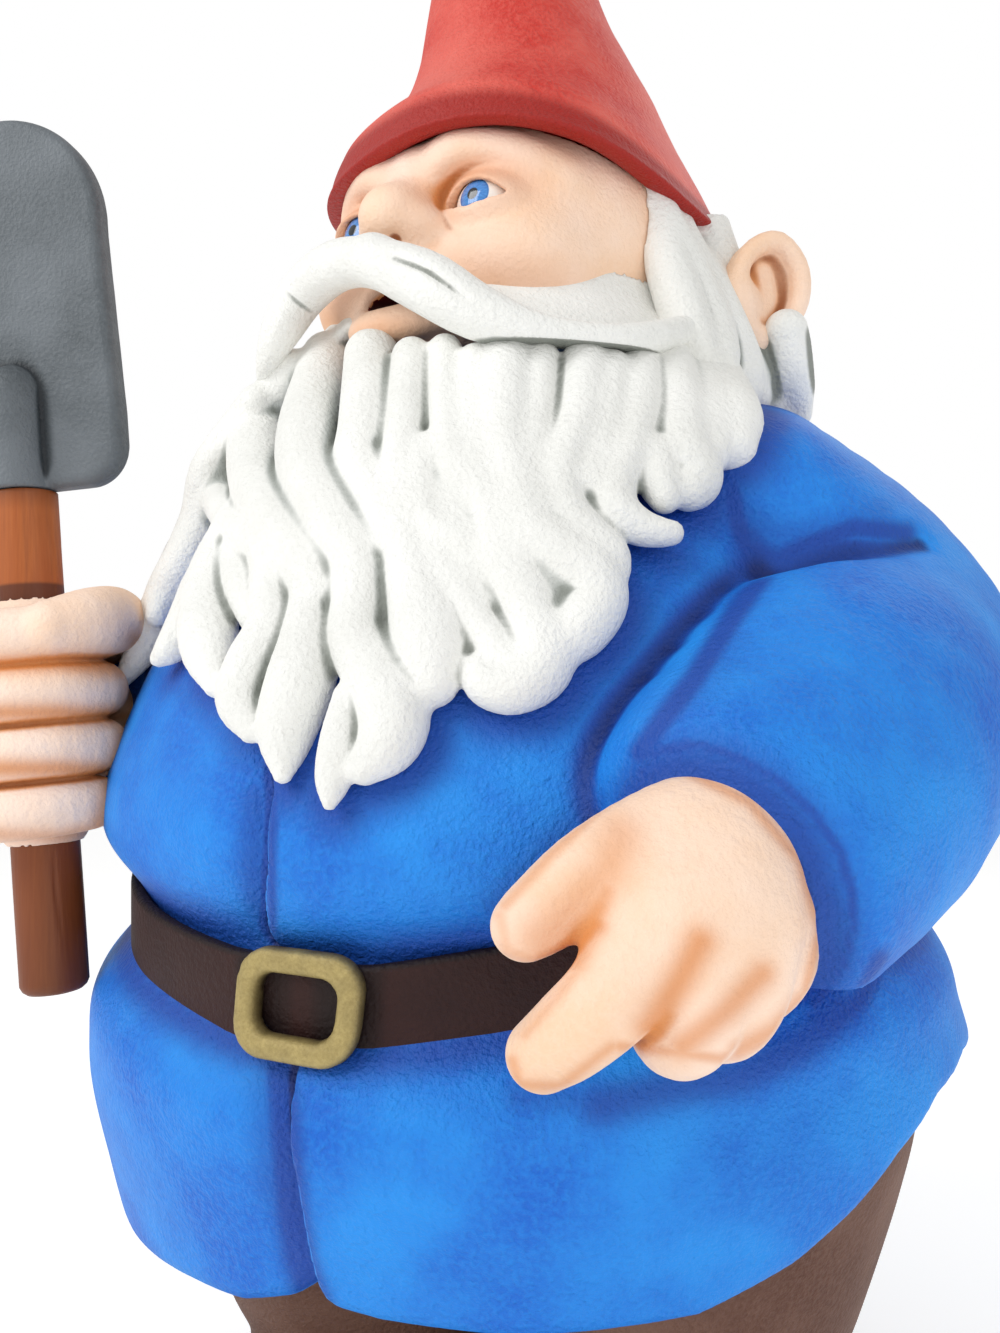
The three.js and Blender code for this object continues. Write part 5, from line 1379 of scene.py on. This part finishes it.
def bladePiece():
    s, p = bladeShape, shovelShape
    base = p["top"] + s["gap"]
    block = foamBlock((-112, -46, -6), (112, 40, s["height"] + 14), 2.0)
    x, y, z = allCells(block)
    half, edge = s["width"] / 2, s["edge"]
    narrow = half * (1 - (1 - s["shoulder"]) * np.clip((z - s["taperStart"]) / s["taperLength"], 0, 1))
    topCentre = s["height"] - half * s["shoulder"]
    sides = np.abs(x) - narrow
    corner = s["corner"]
    qx, qz = np.maximum(np.abs(x) - (narrow - corner), 0), np.maximum(corner - z, 0)
    foot = np.hypot(qx, qz) - corner
    dome = np.hypot(x * (half / (half * s["shoulder"])), np.maximum(z - topCentre, 0)) - half
    outline = np.maximum(np.where(z > topCentre, dome, sides), np.where(z < corner, foot, -1e3))
    outline = np.maximum(outline, -z)
    dish = s["dish"] * (1 - (x / half) ** 2)
    face = np.abs(y - dish) - s["thickness"] / 2
    ox, oy = np.maximum(outline + edge, 0), np.maximum(face + edge, 0)
    plate = np.hypot(ox, oy) - edge + np.minimum(np.maximum(outline + edge, face + edge), 0)
    tongueDepth = -s["tongueRise"] + s["tongueSeat"]
    tongue = [(0, tongueDepth, -20, s["tongue"]), (0, tongueDepth, s["tongueHeight"] - s["tongue"], s["tongue"])]
    block["field"] = plate.astype(np.float32)
    addRope(block, tongue, 3, steps=3)
    addRope(block, s["socket"], 6, steps=6)
    block["field"] = np.maximum(block["field"], s["gap"] - z).astype(np.float32)
    turn = turnAbout("z", s["turn"])

    def place(points):
        return fromShovel(points @ turn.T + np.array([0, 0, base]))
    return carvedPiece(block, "shovelBladeBoard", fine=6, wide=14, place=place)


blade = bladePiece()
print("shovel made")


def sideName(side):
    return "left" if side > 0 else "right"


def legPiece(side):
    low, high = legShape["low"], legShape["high"]
    if side < 0:
        low, high = (-high[0], *low[1:]), (-low[0], *high[1:])
    block = foamBlock(low, high, 4.0)
    block["field"] = legField(allCells(block), side).astype(np.float32)
    return carvedPiece(block, sideName(side) + "TrouserFoam", fine=8, wide=22)


bootShape = {
    "toe": ((0, -152, 40), (78, 84, 66), 0), "instep": ((0, -60, 30), (74, 150, 96), 26),
    "heel": ((0, 60, 40), (68, 66, 84), 24), "shaft": [(0, 14, 60, 66), (0, 14, 130, 64)],
    "welt": [(-84, -150, 30, 5), (-60, -214, 30, 5), (0, -246, 30, 5), (60, -214, 30, 5), (84, -150, 30, 5)],
    "bottom": 28.9,
}


def bootPiece(side):
    s = bootShape
    block = foamBlock((-95, -255, 24), (95, 135, 150), 2.6)
    for ball in ("toe", "instep", "heel"):
        addBall(block, *s[ball])
    addRope(block, s["shaft"], 18, steps=3)
    addRope(block, s["welt"], 6, steps=24, cut=True)
    z = allCells(block)[2]
    block["field"] = np.maximum(block["field"], s["bottom"] - z).astype(np.float32)
    return carvedPiece(block, sideName(side) + "BootFoam", fine=7, wide=18,
                       place=lambda points: points + np.array([side * legShape["out"], 0, 0]))


soleShape = {
    # centre and radius of the two round ends, heel first
    "ends": ((49.6, 71), (-159, 82)), "steps": 40, "middle": -54,
    # how far each ring stands out, and its height
    "rings": ((-3, 6.5), (-0.6, 7.4), (0, 9.5), (0, 16), (-1.6, 18), (0, 20), (0, 25.5), (-0.8, 27.6), (-3, 28.3)),
}


def solePiece(side):
    s = soleShape
    outline = []
    for end, (along, radius) in enumerate(s["ends"]):
        for i in range(s["steps"]):
            a = math.pi * end + math.pi * i / (s["steps"] - 1)
            outline.append((radius * math.cos(a), along + radius * math.sin(a)))
    outline = np.array(outline)
    middle = np.array([0, s["middle"]])
    away = outline - middle
    rows = []
    for grow, height in s["rings"]:
        ring = middle + away * (1 + grow / np.linalg.norm(away, axis=1)[:, None])
        rows.append(np.stack([ring[:, 0] + side * legShape["out"], ring[:, 1], np.full(len(ring), height)], axis=1))
    return quadMesh(sideName(side) + "Sole", np.concatenate(rows), loftFaces(len(rows), len(outline)))


legs = {name: legPiece(side) for name, side in mirrorSides.items()}
boots = {name: bootPiece(side) for name, side in mirrorSides.items()}
soles = {name: solePiece(side) for name, side in mirrorSides.items()}
print("legs and boots made")

# Painted shade where pieces meet, partly the figure's own spray shading: what is shaded, by what, and how far it
# reaches
for piece, others, reach in (
    (torso, [beardPiece, leftHand, hair, belt], 40), (skirt, [belt, leftHand], 30),
    (sleeves["left"], [leftHand, beardPiece, hair], 40), (sleeves["right"], [rightFist, beardPiece], 40),
    (belt, [leftHand, buckle], 34), (legs["left"], [skirt], 60), (legs["right"], [skirt], 60),
):
    setValues(piece, "near", closeness(piece, others, reach))

# Strokes of painted shade, partly the figure's own spray shading, each in pixels of the photograph: its line, half
# width and strength. A stroke only reaches what faces the camera; on the hands the shade is orange-brown.
shadeStrokes = {
    "tunicShade": [
        ([(728, 462), (736, 517), (750, 556), (762, 574)], 14, 0.95),
        ([(762, 574), (736, 611), (694, 679), (664, 718), (640, 752)], 15, 0.95),
        ([(765, 566), (805, 546), (856, 527), (905, 533)], 15, 0.9),
        ([(745, 515), (775, 535), (830, 528), (880, 515)], 26, 0.45),
        ([(660, 735), (700, 690), (735, 640)], 30, 0.35),
        ([(642, 757), (672, 747), (702, 745), (736, 757), (779, 780), (813, 812), (839, 850), (852, 893), (852, 931),
          (843, 966), (815, 1004)], 9, 0.85),
        ([(640, 772), (677, 768), (711, 778), (753, 803), (788, 837), (809, 880), (820, 919), (818, 953),
          (805, 996)], 6, 0.9),
        ([(256, 800), (252, 870), (262, 930)], 26, 0.6), ([(275, 640), (275, 790), (271, 860), (272, 930)], 8, 0.85),
        ([(278, 1055), (284, 1120), (290, 1200), (300, 1260), (314, 1300)], 22, 0.95),
        ([(262, 1070), (268, 1120), (276, 1190)], 34, 0.5),
        ([(840, 1010), (800, 1045), (740, 1075), (660, 1090), (600, 1105)], 32, 0.75),
        ([(700, 1090), (620, 1100), (520, 1095)], 26, 0.5),
        ([(880, 960), (860, 1000), (835, 1025)], 16, 0.8), ([(600, 800), (540, 860), (500, 905)], 26, 0.55),
        ([(150, 660), (250, 750), (330, 810), (430, 720)], 22, 0.5),
        ([(470, 690), (560, 690), (630, 620), (690, 545)], 20, 0.5),
        ([(745, 455), (760, 440), (780, 425)], 16, 0.8),
        ([(136, 925), (250, 962), (380, 965), (480, 958), (600, 925)], 12, 0.7),
        ([(135, 985), (240, 1062), (380, 1050), (470, 1038), (560, 1012)], 9, 0.6),
    ],
    "handShade": [
        ([(700, 942), (680, 980), (651, 1026)], 19, 0.8), ([(762, 974), (725, 1012), (683, 1046)], 16, 0.7),
        ([(803, 1000), (775, 1030), (738, 1050)], 12, 0.65),
        ([(621, 835), (608, 870), (580, 900), (540, 935)], 26, 0.5),
        ([(596, 925), (575, 945), (545, 960)], 13, 0.85), ([(606, 890), (590, 930), (576, 960)], 14, 0.6),
        ([(500, 915), (507, 950), (530, 957)], 8, 0.4),
        ([(640, 775), (600, 808), (550, 855), (505, 905)], 7, 0.5),
        ([(512, 1060), (520, 1084), (560, 1086), (612, 1046)], 7, 0.55),
        ([(620, 1046), (660, 1050), (720, 1058), (770, 1040), (805, 994), (820, 930), (800, 860), (750, 802),
          (690, 772)], 7, 0.6),
        ([(590, 955), (555, 1000), (525, 1035)], 6, 0.35),
    ],
    "fistShade": [
        ([(0, 664), (60, 662), (130, 668)], 11, 0.8), ([(0, 712), (60, 712), (125, 716)], 11, 0.8),
        ([(0, 768), (60, 768), (115, 772)], 11, 0.8),
        ([(0, 834), (60, 836), (95, 828)], 9, 0.5),
        ([(136, 640), (138, 680), (125, 740), (110, 790), (98, 830)], 12, 0.7),
    ],
}


def photoPixels(spots):
    depth = (cameraPlace - spots) @ towardCamera
    across = view["centrePixel"][0] + view["focalPixels"] * (spots @ cameraRight) / depth
    return np.stack([across, view["centrePixel"][1] - view["focalPixels"] * (spots[:, 2] - view["height"]) / depth],
                    axis=1)


# Lay painted shade into an attribute, keeping the strongest of what is there and of each stroke
def paintShadeStrokes(piece, key, lines):
    spots = pointsOf(piece)
    normals = np.zeros(len(spots) * 3, np.float32)
    piece.data.vertices.foreach_get("normal", normals)
    facing = np.clip(((cameraPlace - spots) * normals.reshape(-1, 3)).sum(axis=1) / 200, 0, 1)
    pixels = photoPixels(spots)
    paint = np.zeros(len(spots), np.float32)
    if key in piece.data.attributes:
        piece.data.attributes[key].data.foreach_get("value", paint)
    for line, wide, amount in lines:
        away = np.full(len(spots), 1e6)
        for start, end in zip(np.array(line[:-1], float), np.array(line[1:], float)):
            share = np.clip(((pixels - start) @ (end - start)) / ((end - start) @ (end - start)), 0, 1)
            away = np.minimum(away, np.linalg.norm(pixels - start - share[:, None] * (end - start), axis=1))
        paint = np.maximum(paint, amount * np.exp(-(away / wide) ** 2) * facing)
    setValues(piece, key, paint)


for piece in (torso, skirt, *sleeves.values()):
    paintShadeStrokes(piece, "near", shadeStrokes["tunicShade"])
paintShadeStrokes(leftHand, "shadeZone", shadeStrokes["handShade"])
paintShadeStrokes(rightFist, "shadeZone", shadeStrokes["fistShade"])

# Who replaces what
dress(torso, "torso", blueTunic)
dress(skirt, "tunic_skirt", blueTunic)
dress(belt, "belt", darkBelt)
dress(buckle, "buckle", goldBuckle)
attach(head, "figure")
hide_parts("head")
dress(beardPiece, "beard", whiteHair)
dress(moustache, "moustache", whiteHair)
dress(hair, "hair", whiteHair)
dress(hat, "hat", redHat)
dress(leftHand, "left_hand", paleSkin)
dress(rightFist, "right_fist", paleSkin)
dress(handle, "shovel_handle", handleWood, "shovel")
dress(blade, "shovel_blade", bladeGrey, "shovel")
for name in mirrorSides:
    dress(sleeves[name], f"{name}_sleeve", blueTunic)
    dress(eyes[name], f"{name}_eye", eyeFinish)
    dress(ears[name], f"{name}_ear", paleSkin)
    dress(legs[name], f"{name}_trouser_leg", brownTrousers)
    dress(boots[name], f"{name}_boot", darkBoot)
    dress(soles[name], f"{name}_boot_sole", blackSole)
for name in ("base_plate", "hip_bar", "spine_mast", "waist_key_plate", "neck_key_plate", "left_leg_post",
             "right_leg_post",
             "left_arm_rod", "right_arm_rod"):
    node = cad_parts[name]
    node.data.materials.clear()
    node.data.materials.append(steel)

# Studio: white surround, a pale floor and large soft lights
studio = {"surround": 0.62, "key": 34, "fill": 10, "rim": 8, "floor": "#fbfbfa"}
scene = bpy.context.scene
scene.view_settings.view_transform = "Standard"
world = bpy.data.worlds.new("studio")
scene.world = world
world.use_nodes = True
tree = world.node_tree
tree.nodes.clear()
seen = addNode(tree, "ShaderNodeLightPath")
strength = addNode(tree, "ShaderNodeMapRange", {"To Min": studio["surround"], "To Max": 1.0},
                   {"Value": seen.outputs["Is Camera Ray"]})
sky = addNode(tree, "ShaderNodeBackground", {"Color": (1, 1, 1, 1)}, {"Strength": strength.outputs[0]})
addNode(tree, "ShaderNodeOutputWorld", links={"Surface": sky.outputs[0]})


def softbox(name, place, aim, size, power):
    light = bpy.data.lights.new(name, "AREA")
    light.shape, light.size, light.energy = "SQUARE", size, power
    lamp = bpy.data.objects.new(name, light)
    scene.collection.objects.link(lamp)
    lamp.location = place
    lamp.rotation_euler = (Vector(aim) - Vector(place)).to_track_quat("-Z", "Y").to_euler()


softbox("key", (-1.3, -1.9, 2.3), (0, 0, 0.8), 1.5, studio["key"])
softbox("fill", (2.0, -1.4, 1.5), (0, 0, 0.8), 1.8, studio["fill"])
softbox("rim", (0.6, 2.2, 2.4), (0, 0, 0.9), 1.6, studio["rim"])

floorMesh = bpy.data.meshes.new("floor")
floorMesh.from_pydata([(-9, -9, 0), (9, -9, 0), (9, 9, 0), (-9, 9, 0)], [], [(0, 1, 2, 3)])
floor = bpy.data.objects.new("floor", floorMesh)
scene.collection.objects.link(floor)
floorFinish, tree, shader = newFinish("paleFloorPaint", {
    "Roughness": 0.9, "Emission Color": (1, 1, 1, 1), "Emission Strength": 0.35,
})
paper = addNode(tree, "ShaderNodeTexNoise", {"Scale": 3, "Detail": 2}).outputs["Fac"]
tree.links.new(mixed(tree, paper, "#f6f6f5", studio["floor"]), shader.inputs["Base Color"])
floor.data.materials.append(floorFinish)

print("scene ready")
